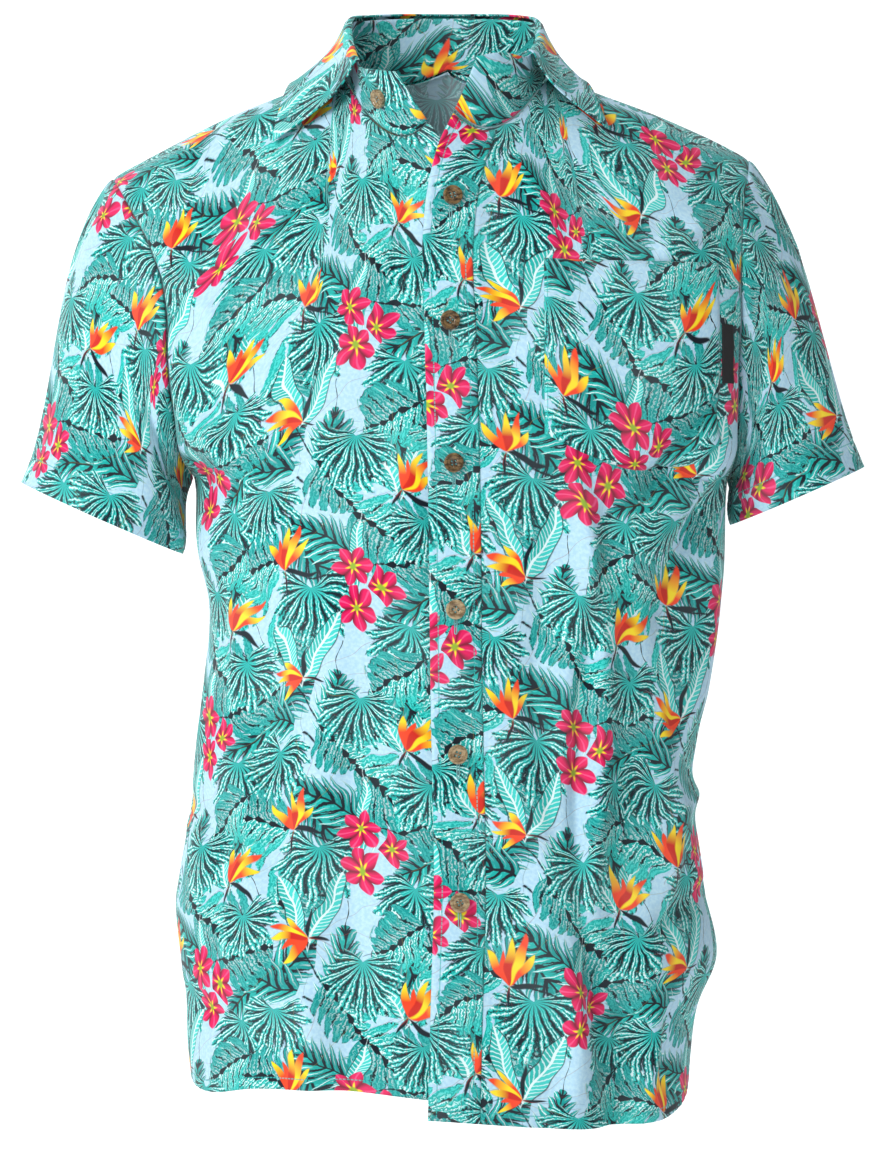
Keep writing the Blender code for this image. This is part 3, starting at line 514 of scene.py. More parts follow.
# The soft creases of each half panel: a trough or ridge from one place to another, as x, z of its start and its end,
# its half width and its height (below zero for a trough), all in millimetres.
CREASES = {
    (RIGHT, FRONT): (
        (-176, -196, -128, -262, 9, -2.6), (-180, -222, -112, -300, 11, 3.0), (-178, -246, -128, -352, 10, -2.8),
        (-171, -270, -150, -430, 10, 3.2), (-158, -300, -128, -470, 12, -3.0), (-150, -420, -140, -640, 13, 2.6),
        (-118, -330, -108, -560, 15, -2.2), (-92, -300, -84, -480, 13, 1.8), (-60, -420, -52, -670, 16, -1.8),
        (-34, -180, -40, -330, 12, 1.2), (-186, -480, -120, -520, 10, -2.4), (-188, -545, -138, -585, 10, 2.4),
        (-186, -610, -120, -640, 11, -2.0), (-120, -90, -176, -150, 10, 1.8), (-84, -46, -166, -118, 12, -1.8),
        (-44, -40, -88, -120, 8, 1.6), (-26, -60, -40, -170, 7, -1.3), (-196, -128, -150, -176, 8, 2.0),
        (-100, -600, -96, -672, 12, 2.0), (-20, -500, -18, -660, 9, 1.0),
    ),
    (LEFT, FRONT): (
        (176, -214, 122, -282, 9, -2.8), (180, -240, 108, -318, 11, 3.4), (172, -262, 134, -372, 11, -3.2),
        (168, -290, 150, -440, 10, 3.0), (78, -262, 82, -560, 9, 3.6), (98, -300, 101, -680, 8, -4.6),
        (62, -300, 66, -520, 12, -2.0), (134, -420, 120, -690, 11, 3.6), (150, -520, 140, -680, 9, -3.2),
        (42, -420, 46, -684, 14, 1.8), (20, -330, 24, -600, 12, -1.2), (166, -470, 118, -500, 10, 2.6),
        (172, -540, 128, -566, 9, -2.6), (60, -60, 150, -98, 12, -1.6), (36, -50, 62, -118, 9, 1.6),
        (24, -70, 36, -200, 8, -1.2), (168, -92, 128, -116, 8, 1.8), (74, -580, 70, -686, 11, 2.4),
        (112, -600, 110, -690, 7, -2.4),
    ),
    (RIGHT, BACK): (
        (-178, -212, -96, -268, 11, -3.0), (-182, -240, -80, -320, 13, 3.4), (-174, -270, -100, -400, 13, -3.2),
        (-160, -320, -130, -540, 13, 3.2), (-112, -340, -104, -620, 14, -2.8), (-70, -300, -66, -600, 16, 2.4),
        (-34, -360, -32, -670, 16, -2.4), (-186, -500, -110, -530, 12, 2.6), (-120, -60, -176, -140, 12, 1.8),
        (-60, -40, -80, -180, 16, -1.6), (-20, -120, -24, -330, 18, 1.6), (-150, -580, -146, -672, 12, 2.8),
    ),
    (LEFT, BACK): (
        (172, -204, 92, -262, 11, 3.0), (180, -236, 84, -310, 12, -3.4), (172, -268, 104, -392, 13, 3.2),
        (158, -330, 134, -520, 12, -3.0), (112, -380, 104, -640, 14, 2.8), (58, -320, 62, -620, 15, -2.4),
        (24, -300, 20, -560, 16, 2.2), (168, -480, 96, -514, 12, -2.6), (110, -60, 168, -128, 12, -1.8),
        (52, -50, 66, -190, 16, 1.6), (140, -600, 132, -676, 11, -2.8), (84, -560, 80, -684, 13, 2.6),
    ),
}

# The creases of the sleeves: the share of the way round and down at the start and the end, half width in
# millimetres, height in millimetres.
SLEEVE_CREASES = {
    RIGHT: (
        (0.05, 0.25, 0.30, 0.62, 12, -3.4), (0.10, 0.55, 0.34, 0.90, 11, 3.0), (0.02, 0.45, 0.20, 0.85, 9, 2.6),
        (0.30, 0.10, 0.38, 0.45, 10, 1.8), (0.44, 0.04, 0.46, 0.34, 9, -1.6), (0.56, 0.05, 0.54, 0.40, 10, 1.8),
        (0.95, 0.25, 0.72, 0.60, 12, 3.4), (0.90, 0.50, 0.66, 0.88, 12, -3.0), (0.40, 0.60, 0.44, 1.00, 13, -1.8),
        (0.22, 0.72, 0.26, 1.00, 10, -2.4), (0.60, 0.62, 0.58, 1.00, 12, 2.0), (0.80, 0.10, 0.70, 0.42, 11, -2.2),
    ),
    LEFT: (
        (0.04, 0.22, 0.28, 0.56, 12, 3.2), (0.08, 0.48, 0.36, 0.86, 11, -3.2), (0.03, 0.60, 0.18, 0.96, 9, 2.4),
        (0.28, 0.06, 0.36, 0.40, 10, -1.8), (0.43, 0.05, 0.45, 0.36, 9, 1.6), (0.58, 0.04, 0.56, 0.38, 10, -1.6),
        (0.94, 0.20, 0.70, 0.55, 12, -3.2), (0.92, 0.46, 0.68, 0.84, 12, 3.0), (0.38, 0.58, 0.42, 1.00, 13, 2.2),
        (0.20, 0.66, 0.24, 1.00, 10, 2.6), (0.62, 0.60, 0.60, 1.00, 12, -2.0), (0.82, 0.14, 0.72, 0.46, 11, 2.2),
    ),
}

PANEL_COLUMNS = 78  # how finely the cloth pieces are divided
LOWER_ROWS = 132
UPPER_ROWS = 98
SLEEVE_COLUMNS = 132
SHEET = 0.7 * MM  # the thickness the cloth is drawn with
SEAM_ROLL = {"depth": 1.1 * MM, "reach": 2.2 * MM}  # how a panel's edge turns in at a seam
HEM_STITCH = 7.5 * MM
CUFF_STITCH = 19.0 * MM
STITCH_GROOVE = {"depth": 0.35 * MM, "reach": 1.2 * MM}
PUCKER = {"height": 0.22 * MM, "length": 9.0 * MM}


def crease_relief(rows, across, along):
    """How far a table of creases lifts the cloth at each place, in millimetres. Each one fades in and out along
    its length, and is a little sharper on top than a plain swell."""
    relief = np.zeros(across.shape)
    for x0, z0, x1, z1, half_width, rise in rows:
        length = math.hypot(x1 - x0, z1 - z0)
        dx, dz = (x1 - x0) / length, (z1 - z0) / length
        down = ((across - x0) * dx + (along - z0) * dz) / length
        bow = CREASE_BOW * length * np.sin(math.pi * np.clip(down, 0, 1)) * np.sign(rise)
        off = (across - x0) * dz - (along - z0) * dx + bow
        fade = np.clip((down + CREASE_ENDS) / CREASE_RAMP, 0, 1) * np.clip((1 + CREASE_ENDS - down) / CREASE_RAMP, 0, 1)
        fade = fade * fade * (3 - 2 * fade)
        width = half_width * (0.6 + 0.4 * fade)
        relief += rise * fade * np.exp(-(np.abs(off) / width) ** CREASE_SHARPNESS)
    return relief


def undulation(across, along):
    """The cloth's slow, uneven waviness, in millimetres."""
    wave = np.sin(across / 23.0 + 1.3 * np.sin(along / 67.0)) * np.sin(along / 41.0 + across / 89.0)
    finer = np.sin(across / 9.7 + along / 31.0 + 1.1) * np.sin(along / 14.3 - across / 37.0)
    return 0.55 * wave + 0.16 * finer


def lengths(points, axis):
    """The distance along a grid of points from its first row or column."""
    steps = np.linalg.norm(np.diff(points, axis=axis), axis=-1)
    start = np.zeros_like(np.take(steps, [0], axis=axis))
    return np.concatenate([start, np.cumsum(steps, axis=axis)], axis)


def flat_cut(points):
    """The flat cut of a grid of points: how far along its rows and its columns each one is."""
    return np.stack([lengths(points, 1), lengths(points, 0)], -1)


def seam_roll(distance):
    """How far cloth turns in near a seam."""
    return SEAM_ROLL["depth"] * np.exp(-((distance / SEAM_ROLL["reach"]) ** 2))


def stitched(distance, along, line):
    """The shallow groove of a stitched hem, with the puckers the stitches pull between it and the edge."""
    groove = STITCH_GROOVE["depth"] * np.exp(-(((distance - line) / STITCH_GROOVE["reach"]) ** 2))
    near = np.exp(-((distance / (line * 1.6)) ** 2))
    return PUCKER["height"] * near * np.sin(2 * math.pi * (along + 0.35 * distance) / PUCKER["length"]) - groove


def panel_grid(side, face):
    """A half panel's points and flat cut: rows from the hem up, columns from the inner edge out."""
    neck = side_neck(side, face)
    inside = np.linspace(0, neck, int(PANEL_COLUMNS * NECK_SHARE) + 1)
    outside = np.linspace(neck, 1, PANEL_COLUMNS - len(inside) + 2)[1:]
    columns = np.concatenate([inside, outside])
    rows = np.concatenate([np.linspace(0, 1, LOWER_ROWS + 1)[:-1], np.linspace(1, 2, UPPER_ROWS + 1)])
    return finished_panel(side, face, *np.meshgrid(columns, rows))


def finished_panel(side, face, u, v):
    """The creased outer face of a half panel at a whole grid of u and v, its normals and its flat cut."""
    points, normals = creased(side, face, u, v)
    across, up = lengths(points, 1), lengths(points, 0)
    side_edge = across[:, -1:] - across
    top_edge = up[-1:] - up
    lift = stitched(up, across, HEM_STITCH) - seam_roll(side_edge) - seam_roll(top_edge)
    points = points + normals * lift[..., None]
    return points, normals, np.stack([across * -side * face, up], -1)


def creased(side, face, u, v):
    """A half panel's outer face with its creases, and its normals, at any u and v."""
    points, normals = panel(side, face, u, v)
    x, z = points[..., 0] / MM, points[..., 2] / MM
    calm = np.clip(u / CALM_EDGE, 0, 1) * np.clip((1 - u) / CALM_SEAM, 0, 1) * np.clip((2 - v) / CALM_SEAM, 0, 1)
    relief = (CREASE_SCALE * crease_relief(CREASES[side, face], x, z) + undulation(x, z)) * calm ** 0.5
    return points + normals * relief[..., None] * MM, normals


def linked(name, data):
    """A new object of some data, in the scene."""
    made = bpy.data.objects.new(name, data)
    bpy.context.scene.collection.objects.link(made)
    return made


def cloth(name, points, cut, normals, sheet=SHEET, closed=False):
    """A cloth piece from a grid of points, with its flat cut as the UV map and its wall inside the points."""
    rows, columns = points.shape[:2]
    grid = bmesh.new()
    bmesh.ops.create_grid(grid, x_segments=columns - 1, y_segments=rows - 1, size=0.5)
    flat = grid.loops.layers.uv.new("cut")
    for vertex in grid.verts:
        vertex.index = round((vertex.co.y + 0.5) * (rows - 1)) * columns + round((vertex.co.x + 0.5) * (columns - 1))
    places, sizes = points.reshape(-1, 3), cut.reshape(-1, 2)
    for face in grid.faces:
        for loop in face.loops:
            loop[flat].uv = sizes[loop.vert.index]
    for vertex in grid.verts:
        vertex.co = places[vertex.index]
    grid.normal_update()
    centre, outwards = [Vector(given[rows // 2, columns // 2]) for given in (points, normals)]
    middle = min(grid.faces, key=lambda face: (face.calc_center_median() - centre).length)
    if middle.normal.dot(outwards) < 0:
        bmesh.ops.reverse_faces(grid, faces=grid.faces)
    if closed:
        bmesh.ops.remove_doubles(grid, verts=grid.verts, dist=0.00002)
    mesh = bpy.data.meshes.new(name)
    grid.to_mesh(mesh)
    grid.free()
    mesh.shade_smooth()
    piece = linked(name, mesh)
    wall = piece.modifiers.new("wall", "SOLIDIFY")
    wall.thickness = sheet
    wall.offset = -1.0
    wall.use_even_offset = False
    wall.use_rim = True
    wall.material_offset = 1
    wall.material_offset_rim = 0
    return piece


class Wire:
    """One output of a node, with the operators that maths on numbers needs."""

    def __init__(self, board, socket):
        self.board = board
        self.socket = socket

    def maths(self, operation, *others):
        return self.board.node("ShaderNodeMath", {"operation": operation}, dict(enumerate((self, *others))))

    def __add__(self, other):
        return self.maths("ADD", other)

    def __sub__(self, other):
        return self.maths("SUBTRACT", other)

    def __mul__(self, other):
        return self.maths("MULTIPLY", other)

    def __truediv__(self, other):
        return self.maths("DIVIDE", other)

    def __pow__(self, other):
        return self.maths("POWER", other)

    def __rsub__(self, other):
        return self.board.node("ShaderNodeMath", {"operation": "SUBTRACT"}, {0: other, 1: self})

    __radd__ = __add__
    __rmul__ = __mul__

    def size(self):
        return self.maths("ABSOLUTE")

    def ramp(self, start, end):
        """0 up to start, 1 from end on. Start may be the larger, for a fall."""
        return self.board.node("ShaderNodeMapRange", {"clamp": True}, {0: self, 1: start, 2: end})

    def zigzag(self):
        """0 on whole numbers, 1 midway between them."""
        return self.maths("PINGPONG", 0.5) * 2.0


class Board:
    """A node tree, and the one way that nodes come onto it."""

    def __init__(self, tree):
        self.tree = tree

    def node(self, kind, settings=None, sockets=None, output=0):
        made = self.tree.nodes.new(kind)
        for name, value in (settings or {}).items():
            setattr(made, name, value)
        for key, value in (sockets or {}).items():
            if isinstance(value, Wire):
                self.tree.links.new(value.socket, made.inputs[key])
            else:
                made.inputs[key].default_value = value
        return Wire(self, made.outputs[output]) if made.outputs else made

    def feed(self, socket, wire):
        self.tree.links.new(wire.socket, socket)

    def vector(self, operation, first, second=None, output=0):
        sockets = {0: first} if second is None else {0: first, 1: second}
        return self.node("ShaderNodeVectorMath", {"operation": operation}, sockets, output)

    def scaled(self, vector, factor):
        return self.node("ShaderNodeVectorMath", {"operation": "SCALE"}, {0: vector, "Scale": factor})

    def turned(self, vector, degrees):
        settings = {"rotation_type": "Z_AXIS"}
        return self.node("ShaderNodeVectorRotate", settings, {"Vector": vector, "Angle": math.radians(degrees)})

    def parts(self, vector):
        made = self.node("ShaderNodeSeparateXYZ", None, {0: vector})
        return made, Wire(self, made.socket.node.outputs[1])

    def joined(self, x, y):
        return self.node("ShaderNodeCombineXYZ", None, {0: x, 1: y})

    def mix(self, share, first, second):
        return self.node("ShaderNodeMix", {"data_type": "RGBA"}, {0: share, 6: first, 7: second}, output=2)

    def choose(self, share, first, second):
        return self.node("ShaderNodeMix", {"data_type": "VECTOR"}, {0: share, 4: first, 5: second}, output=1)

    def noise(self, place, scale, detail=2.0):
        return self.node("ShaderNodeTexNoise", None, {"Vector": place, "Scale": scale, "Detail": detail})


def paint(code):
    """A colour from its six-figure code, as linear light."""
    found = []
    for start in (0, 2, 4):
        value = int(code[start : start + 2], 16) / 255
        found.append(value / 12.92 if value <= 0.04045 else ((value + 0.055) / 1.055) ** 2.4)
    return (*found, 1.0)


TEAL, DEEP_TEAL, AQUA, WHITE = paint("00A8A0"), paint("026068"), paint("3CCCC4"), paint("DDF4F5")
GROUND, NAVY = paint("A8D0E6"), paint("02101E")
PINK, DARK_PINK, LIGHT_PINK = paint("E00A5A"), paint("86042F"), paint("F04C84")
YELLOW, ORANGE, GREEN = paint("FADA1E"), paint("F0421A"), paint("8FAE26")
DARK_ORANGE = paint("C8200C")

REPEAT = (128.0, 172.0)  # the print's repeat, in millimetres. Each column drops half a repeat.

# Where each kind of motif lies in the repeat: x and y of its base or middle, the way it points in degrees, and
# its length. Motifs further down the list lie on top.
MOTIFS = (
    ("frond", ((18, 156, -48, 66), (88, 156, -128, 66), (122, 104, 40, 60), (50, 2, 84, 58), (8, 34, -150, 54))),
    ("split", ((6, 72, 34, 54), (122, 148, 176, 52), (66, 162, -34, 54), (116, 48, 226, 54))),
    ("fan", ((38, 112, -96, 38), (104, 90, -80, 38))),
    ("frond", ((80, 70, -58, 56), (24, 20, 160, 48), (64, 134, 152, 50))),
    ("banana", ((31, 48, 62, 52), (28, 48, 112, 50), (101, 6, 68, 50), (97, 6, 118, 48), (66, 116, 84, 40))),
    ("split", ((92, 128, 8, 44), (42, 24, -52, 42), (14, 128, 162, 44), (110, 66, -150, 40))),
    ("fan", ((68, 38, -90, 34), (8, 8, -104, 32), (112, 160, -84, 30))),
    ("bird", ((31, 50, 150, 23), (100, 8, 34, 25), (18, 124, 62, 26))),
    ("lily", ((66, 124, 10, 15), (86, 113, 40, 14.5), (68, 98, -15, 15))),
)


def nearest(board, place, rows):
    """The place in the frame of the nearest of some motifs, with 1 its length, on the print's dropped repeat."""
    best, chosen = None, None
    for x, y, turn, length in rows:
        across, up = board.parts(board.vector("SUBTRACT", place, (x, y, 0.0)))
        local_x = across.maths("WRAP", REPEAT[0] / 2, -REPEAT[0] / 2)
        dropped = (across - local_x).maths("MULTIPLY_ADD", REPEAT[1] / (2 * REPEAT[0]), up)
        local_y = dropped.maths("WRAP", REPEAT[1] / 2, -REPEAT[1] / 2)
        local = board.turned(board.scaled(board.joined(local_x, local_y), 1 / length), -turn)
        away = board.vector("DISTANCE", local, (0.4, 0.0, 0.0), output=1)
        if best is None:
            best, chosen = away, local
        else:
            nearer = away.maths("LESS_THAN", best)
            chosen = board.choose(nearer, chosen, local)
            best = away.maths("MINIMUM", best)
    return board.parts(chosen)


def blade(x, base, tip, width):
    """The half width of a leaf along its length, wide near its base or its tip as the two powers say."""
    along = x.maths("MAXIMUM", 0.0001).maths("MINIMUM", 0.9999)
    return along**base * (1 - along) ** tip * width


def split_leaf(board, x, y, brush):
    """A broad leaf, notched between its ribs, with a dark barbed midrib."""
    off = y.size()
    width = blade(x, 0.42, 0.55, 0.98)
    share = off / width
    ribs = (x - off * 0.7) * 5.2 + brush * 0.45
    between = ribs.zigzag()
    mask = (width * (1 - between.ramp(0.5, 1.0) * 0.45) - off).ramp(-0.008, 0.012)
    strokes = (ribs * 3.0 + brush * 1.2).zigzag()
    colour = board.mix(strokes.ramp(0.4, 0.6), TEAL, AQUA)
    colour = board.mix(strokes.ramp(0.5, 0.75) * share.ramp(0.7, 0.3) * brush.ramp(0.42, 0.5), colour, WHITE)
    colour = board.mix(y.ramp(0.0, -0.02) * 0.4, colour, DEEP_TEAL)
    colour = board.mix(between.ramp(0.74, 0.9) * share.ramp(0.1, 0.4), colour, NAVY)
    colour = board.mix((strokes * 0.3 + 1 - share).ramp(0.16, 0.06), colour, NAVY)
    return mask, board.mix((off - between * 0.05).ramp(0.012, 0.002), colour, NAVY)


def fan_leaf(board, x, y, brush):
    """A fan palm's leaf, its fingers hanging from the middle."""
    from_middle = (x * x + y * y) ** 0.5
    angle = y.maths("ARCTAN2", x)
    reach = from_middle / (1.08 - angle * angle * 0.11)
    fingers = angle * 2.7 + brush * 0.4
    between = fingers.zigzag()
    mask = (1.1 - reach**5.0 - between).ramp(-0.1, 0.1) * angle.size().ramp(2.3, 2.15)
    strokes = (fingers * 3.0).zigzag()
    colour = board.mix(strokes.ramp(0.4, 0.7), TEAL, AQUA)
    colour = board.mix(strokes.ramp(0.6, 0.8) * reach.ramp(0.15, 0.4) * brush.ramp(0.42, 0.5), colour, WHITE)
    colour = board.mix(between.ramp(0.3, 0.7) * 0.5, colour, DEEP_TEAL)
    dark = between.ramp(0.66, 0.8) * reach.ramp(0.05, 0.2)
    return mask, board.mix(dark.maths("MAXIMUM", strokes.ramp(0.25, 0.1) * reach.ramp(0.2, 0.5)), colour, NAVY)


def frond_leaf(board, x, y, brush):
    """A feathered palm frond."""
    off = y.size()
    reach = off / blade(x, 0.35, 0.5, 0.54)
    leaflets = (x - off * 1.3) * 6.0 + brush * 0.25
    between = leaflets.zigzag()
    mask = (1.08 - reach * reach - between * 0.95).ramp(-0.1, 0.1) * x.ramp(0.0, 0.01)
    strokes = (leaflets * 2.0 + brush * 0.4).zigzag()
    colour = board.mix(strokes.ramp(0.6, 0.85) * brush.ramp(0.42, 0.52), TEAL, AQUA)
    colour = board.mix(between.ramp(0.16, 0.06) * reach.ramp(0.2, 0.5), colour, WHITE)
    colour = board.mix(y.ramp(0.0, -0.02) * 0.4, colour, DEEP_TEAL)
    colour = board.mix(between.ramp(0.54, 0.68), colour, NAVY)
    return mask, board.mix(off.ramp(0.016, 0.008), colour, NAVY)


def banana_leaf(board, x, y, brush):
    """A long pale leaf with fine ribs and a white middle."""
    off = y.size()
    width = blade(x, 0.4, 0.45, 0.25)
    between = ((x - off * 0.9) * 15.0 + brush * 0.5).zigzag()
    colour = board.mix(y.ramp(-0.004, 0.004) * 0.8, AQUA, TEAL)
    colour = board.mix(between.ramp(0.6, 0.85) * 0.75, colour, WHITE)
    colour = board.mix((width - off).ramp(0.018, 0.008), colour, NAVY)
    return (width - off).ramp(-0.006, 0.008), board.mix(off.ramp(0.018, 0.01), colour, WHITE)


# A bird-of-paradise flower's petals: the way each points, its length and width, and its two colours.
PETALS = (
    (-66, 1.0, 0.13, NAVY, NAVY),
    (-150, 0.6, 0.12, NAVY, NAVY),
    (-14, 1.0, 0.2, ORANGE, YELLOW),
    (62, 0.95, 0.2, ORANGE, YELLOW),
    (8, 1.2, 0.2, YELLOW, ORANGE),
    (40, 0.8, 0.2, ORANGE, ORANGE),
    (24, 1.1, 0.17, DARK_ORANGE, YELLOW),
)


def bird_flower(board, x, y, brush):
    """A bird-of-paradise flower: pointed petals standing from a dark beak."""
    middle = board.joined(x, y)
    mask, colour = None, None
    for turn, length, width, base, tip in PETALS:
        along, side = board.parts(board.turned(board.scaled(middle, 1 / length), -turn))
        half = blade(along, 0.7, 0.75, width * 1.6)
        shape = (half - side.size()).ramp(-0.014, 0.02)
        shade = board.mix(along.ramp(0.45, 0.8), base, tip)
        mask = shape if mask is None else mask.maths("MAXIMUM", shape)
        colour = shade if colour is None else board.mix(shape, colour, shade)
    return mask, colour


def lily_flower(board, x, y, brush):
    """A six-petalled flower with a yellow-green throat."""
    from_middle = (x * x + y * y) ** 0.5
    between = (y.maths("ARCTAN2", x) * (3 / math.pi)).zigzag()
    edge = (1 - between) ** 0.6 * 0.46 + 0.56
    mask = (edge - from_middle).ramp(-0.02, 0.03)
    colour = board.mix(between.ramp(0.4, 0.9), PINK, DARK_PINK)
    colour = board.mix(between.ramp(0.14, 0.04) * from_middle.ramp(0.3, 0.5), colour, LIGHT_PINK)
    colour = board.mix((from_middle + between * 0.5).ramp(0.46, 0.34), colour, YELLOW)
    return mask, board.mix(from_middle.ramp(0.2, 0.1), colour, GREEN)


DRAWN = {
    "banana": banana_leaf,
    "frond": frond_leaf,
    "split": split_leaf,
    "fan": fan_leaf,
    "bird": bird_flower,
    "lily": lily_flower,
}


def tropical_print():
    """The print as a node group: a place on the flat cut in millimetres in, its colour out."""
    tree = bpy.data.node_groups.new("tropical_print", "ShaderNodeTree")
    tree.interface.new_socket("place", in_out="INPUT", socket_type="NodeSocketVector")
    tree.interface.new_socket("colour", in_out="OUTPUT", socket_type="NodeSocketColor")
    board = Board(tree)
    given = board.node("NodeGroupInput")
    brush = board.noise(given, 0.42, 2.0)
    drift = board.node("ShaderNodeTexNoise", None, {"Vector": given, "Scale": 0.035, "Detail": 1.0}, output=1)
    place = board.vector("ADD", given, board.scaled(board.vector("SUBTRACT", drift, (0.5, 0.5, 0.5)), 16.0))
    colour = board.mix(brush.ramp(0.4, 0.62) * 0.3, GROUND, WHITE)
    for kind, rows in MOTIFS:
        x, y = nearest(board, place, rows)
        mask, shade = DRAWN[kind](board, x, y, brush)
        colour = board.mix(mask, colour, shade)
    board.node("NodeGroupOutput", None, {0: colour})
    return tree


def begun(name):
    """A new material, its shader's sockets and the board of its tree."""
    material = bpy.data.materials.new(name)
    material.use_nodes = True
    tree = material.node_tree
    return material, tree.nodes["Principled BSDF"].inputs, Board(tree)


def cotton(name, shift, inside=False, lines=()):
    """The printed cotton, its print moved by shift in millimetres. The inside shows the print's paler back. Lines
    are rows of stitching: u or v, and its distance in millimetres."""
    material, shader, board = begun(name)
    cut = board.scaled(board.node("ShaderNodeUVMap", {"uv_map": "cut"}), 1000.0)
    moved = board.vector("ADD", cut, (*shift, 0.0))
    colour = board.node("ShaderNodeGroup", {"node_tree": PRINT}, {0: moved})
    worn = board.noise(moved, 0.02, 3.0)
    colour = board.mix(worn.ramp(0.35, 0.75) * 0.06, colour, WHITE)
    if inside:
        colour = board.mix(0.5, colour, paint("C9D8E0"))
    u, v = board.parts(cut)
    weave = (u * (math.pi / THREAD)).maths("SINE") * (v * (math.pi / THREAD)).maths("SINE")
    height = weave * 0.12 + board.noise(moved, 0.16, 3.0) * 1.6
    for axis, at in lines:
        along, across = (u, v) if axis == "v" else (v, u)
        line = (across - at).size().ramp(0.55, 0.2)
        stitch = line * (along / STITCH_LENGTH).maths("FRACT").ramp(0.72, 0.66)
        height = height - line * 0.9 + stitch * 0.7
        # Painted shade: the stitched groove is darkened towards deep teal, as shade falls in it
        colour = board.mix(line * 0.4, colour, DEEP_TEAL)
        colour = board.mix(stitch * 0.55, colour, AQUA)
    bump = board.node("ShaderNodeBump", None, {"Strength": 0.5, "Distance": 0.0004, "Height": height})
    board.feed(shader["Base Color"], colour)
    board.feed(shader["Roughness"], worn * 0.1 + 0.78)
    board.feed(shader["Normal"], bump)
    shader["Sheen Weight"].default_value = 0.12
    shader["Sheen Roughness"].default_value = 0.45
    shader["Specular IOR Level"].default_value = 0.25
    return material


def back_grid():
    """The back in one sheet: its right half in reverse, then its left half."""
    right, left = [panel_grid(side, BACK) for side in (RIGHT, LEFT)]
    joined = []
    for first, second in zip(right, left):
        middle = (first[:, :1] + second[:, :1]) / 2
        joined.append(np.concatenate([first[:, :0:-1], middle, second[:, 1:]], 1))
    return joined


def sleeve_grid(side):
    """A sleeve's creased outer face, its normals and its flat cut: rows down from the armhole."""
    around = np.linspace(0, 1, SLEEVE_COLUMNS + 1)
    down = np.linspace(0, 1, SLEEVE_DOWN + 1)
    points = np.stack([sleeve(side, around, level) for level in down])
    normals = grid_normals(points, True) * -side
    girth, fall = lengths(points, 1), lengths(points, 0)
    width, length = girth[:, -1].mean() / MM, fall[-1].mean() / MM
    places, levels = np.meshgrid(around * width, down * length)
    relief = np.zeros(places.shape)
    for row in SLEEVE_CREASES[side]:
        scaled = (row[0] * width, row[1] * length, row[2] * width, row[3] * length, row[4], row[5])
        for turn in (-width, 0, width):
            relief += crease_relief((scaled,), places + turn, levels)
    phase = 2 * math.pi * places / width
    across, along, share = SLEEVE_WAVE
    relief += undulation(across * np.cos(phase), levels + along * np.sin(phase)) * share
    relief *= np.clip(levels / SLEEVE_CALM, 0, 1) ** 0.5
    edge = fall[-1:] - fall
    lift = relief * MM + stitched(edge, girth, CUFF_STITCH) - seam_roll(fall)
    cut = np.stack([(girth - girth[:, SLEEVE_COLUMNS // 2 : SLEEVE_COLUMNS // 2 + 1]) * side, edge], -1)
    return points + normals * lift[..., None], normals, cut


def stand_grid():
    """The collar stand's outer face, from the neck seam up to the collar's fold."""
    place = np.linspace(0, 4, STAND_COLUMNS + 1)
    low = neck_point(place) + np.array([0, 0, STAND_CLEAR])
    high = fold_point(place)
    out = outward(high)
    low = low - out * STAND_CLEAR
    levels = np.linspace(0, 1, STAND_DOWN + 1)
    swell = STAND_SWELL * 4
    points = np.stack([low + (high - low) * level + out * swell * level * (1 - level) for level in levels])
    normals = grid_normals(points, False)
    normals = normals * np.sign((normals * out).sum(-1, keepdims=True))
    along, up = lengths(points, 1), lengths(points, 0)
    ends = np.minimum(along, along[:, -1:] - along)
    points = points - normals * (seam_roll(up) + seam_roll(ends) * 0.5)[..., None]
    return points, normals, np.stack([-along, up], -1)


def leaf_grid():
    """The collar leaf's outer face, over the fold and down to its edge."""
    place = np.linspace(LEAF_EDGE["place"][0], LEAF_EDGE["place"][-1], LEAF_COLUMNS + 1)
    fold = fold_point(place)
    out = outward(fold)
    up = np.array([0.0, 0.0, 1.0])
    edge = leaf_edge(place)
    roll = np.array(LEAF_ROLL)
    rows = []
    for at in np.linspace(0, 2, ROLL_ROWS + 1):
        across, rise = [smooth((0, 1, 2), roll[:, axis], at) for axis in (0, 1)]
        rows.append(fold + out * across * MM + up * rise * MM)
    start = rows[-1]
    fall = out * LEAF_LEAVES[0] - up * LEAF_LEAVES[1]
    length = np.linalg.norm(edge - start, axis=-1, keepdims=True)
    arrive = unit(edge - start) + out * LEAF_ARRIVES
    for share in np.linspace(0, 1, LEAF_DOWN + 1)[1:]:
        rows.append(hermite(start, fall * length, edge, arrive * length, share))
    points = np.stack(rows)
    normals = grid_normals(points, False) * -1
    along, down = lengths(points, 1), lengths(points, 0)
    ends = np.minimum(along, along[:, -1:] - along)
    nearest_edge = np.minimum(ends, down[-1:] - down)
    wave = undulation(along / MM, down / MM) * LEAF_WAVE
    points = points + normals * (wave - seam_roll(nearest_edge) * LEAF_EDGE_ROLL)[..., None]
    return points, normals, np.stack([-along, down[-1:] - down], -1)


def make_sewn_cloths():
    """The fronts, the back, the sleeves and the collar, each one sheet."""
    grids = {
        "right_front_cloth": panel_grid(RIGHT, FRONT),
        "left_front_cloth": panel_grid(LEFT, FRONT),
        "back_cloth": back_grid(),
        "right_sleeve_cloth": sleeve_grid(RIGHT),
        "left_sleeve_cloth": sleeve_grid(LEFT),
        "collar_stand_cloth": stand_grid(),
        "collar_leaf_cloth": leaf_grid(),
    }
    made = {}
    for name, (points, normals, cut) in grids.items():
        sheet = COLLAR_SHEET if name.startswith("collar") else SHEET
        made[name] = cloth(name, points, cut, normals, sheet=sheet, closed=name.endswith("sleeve_cloth"))
    return made


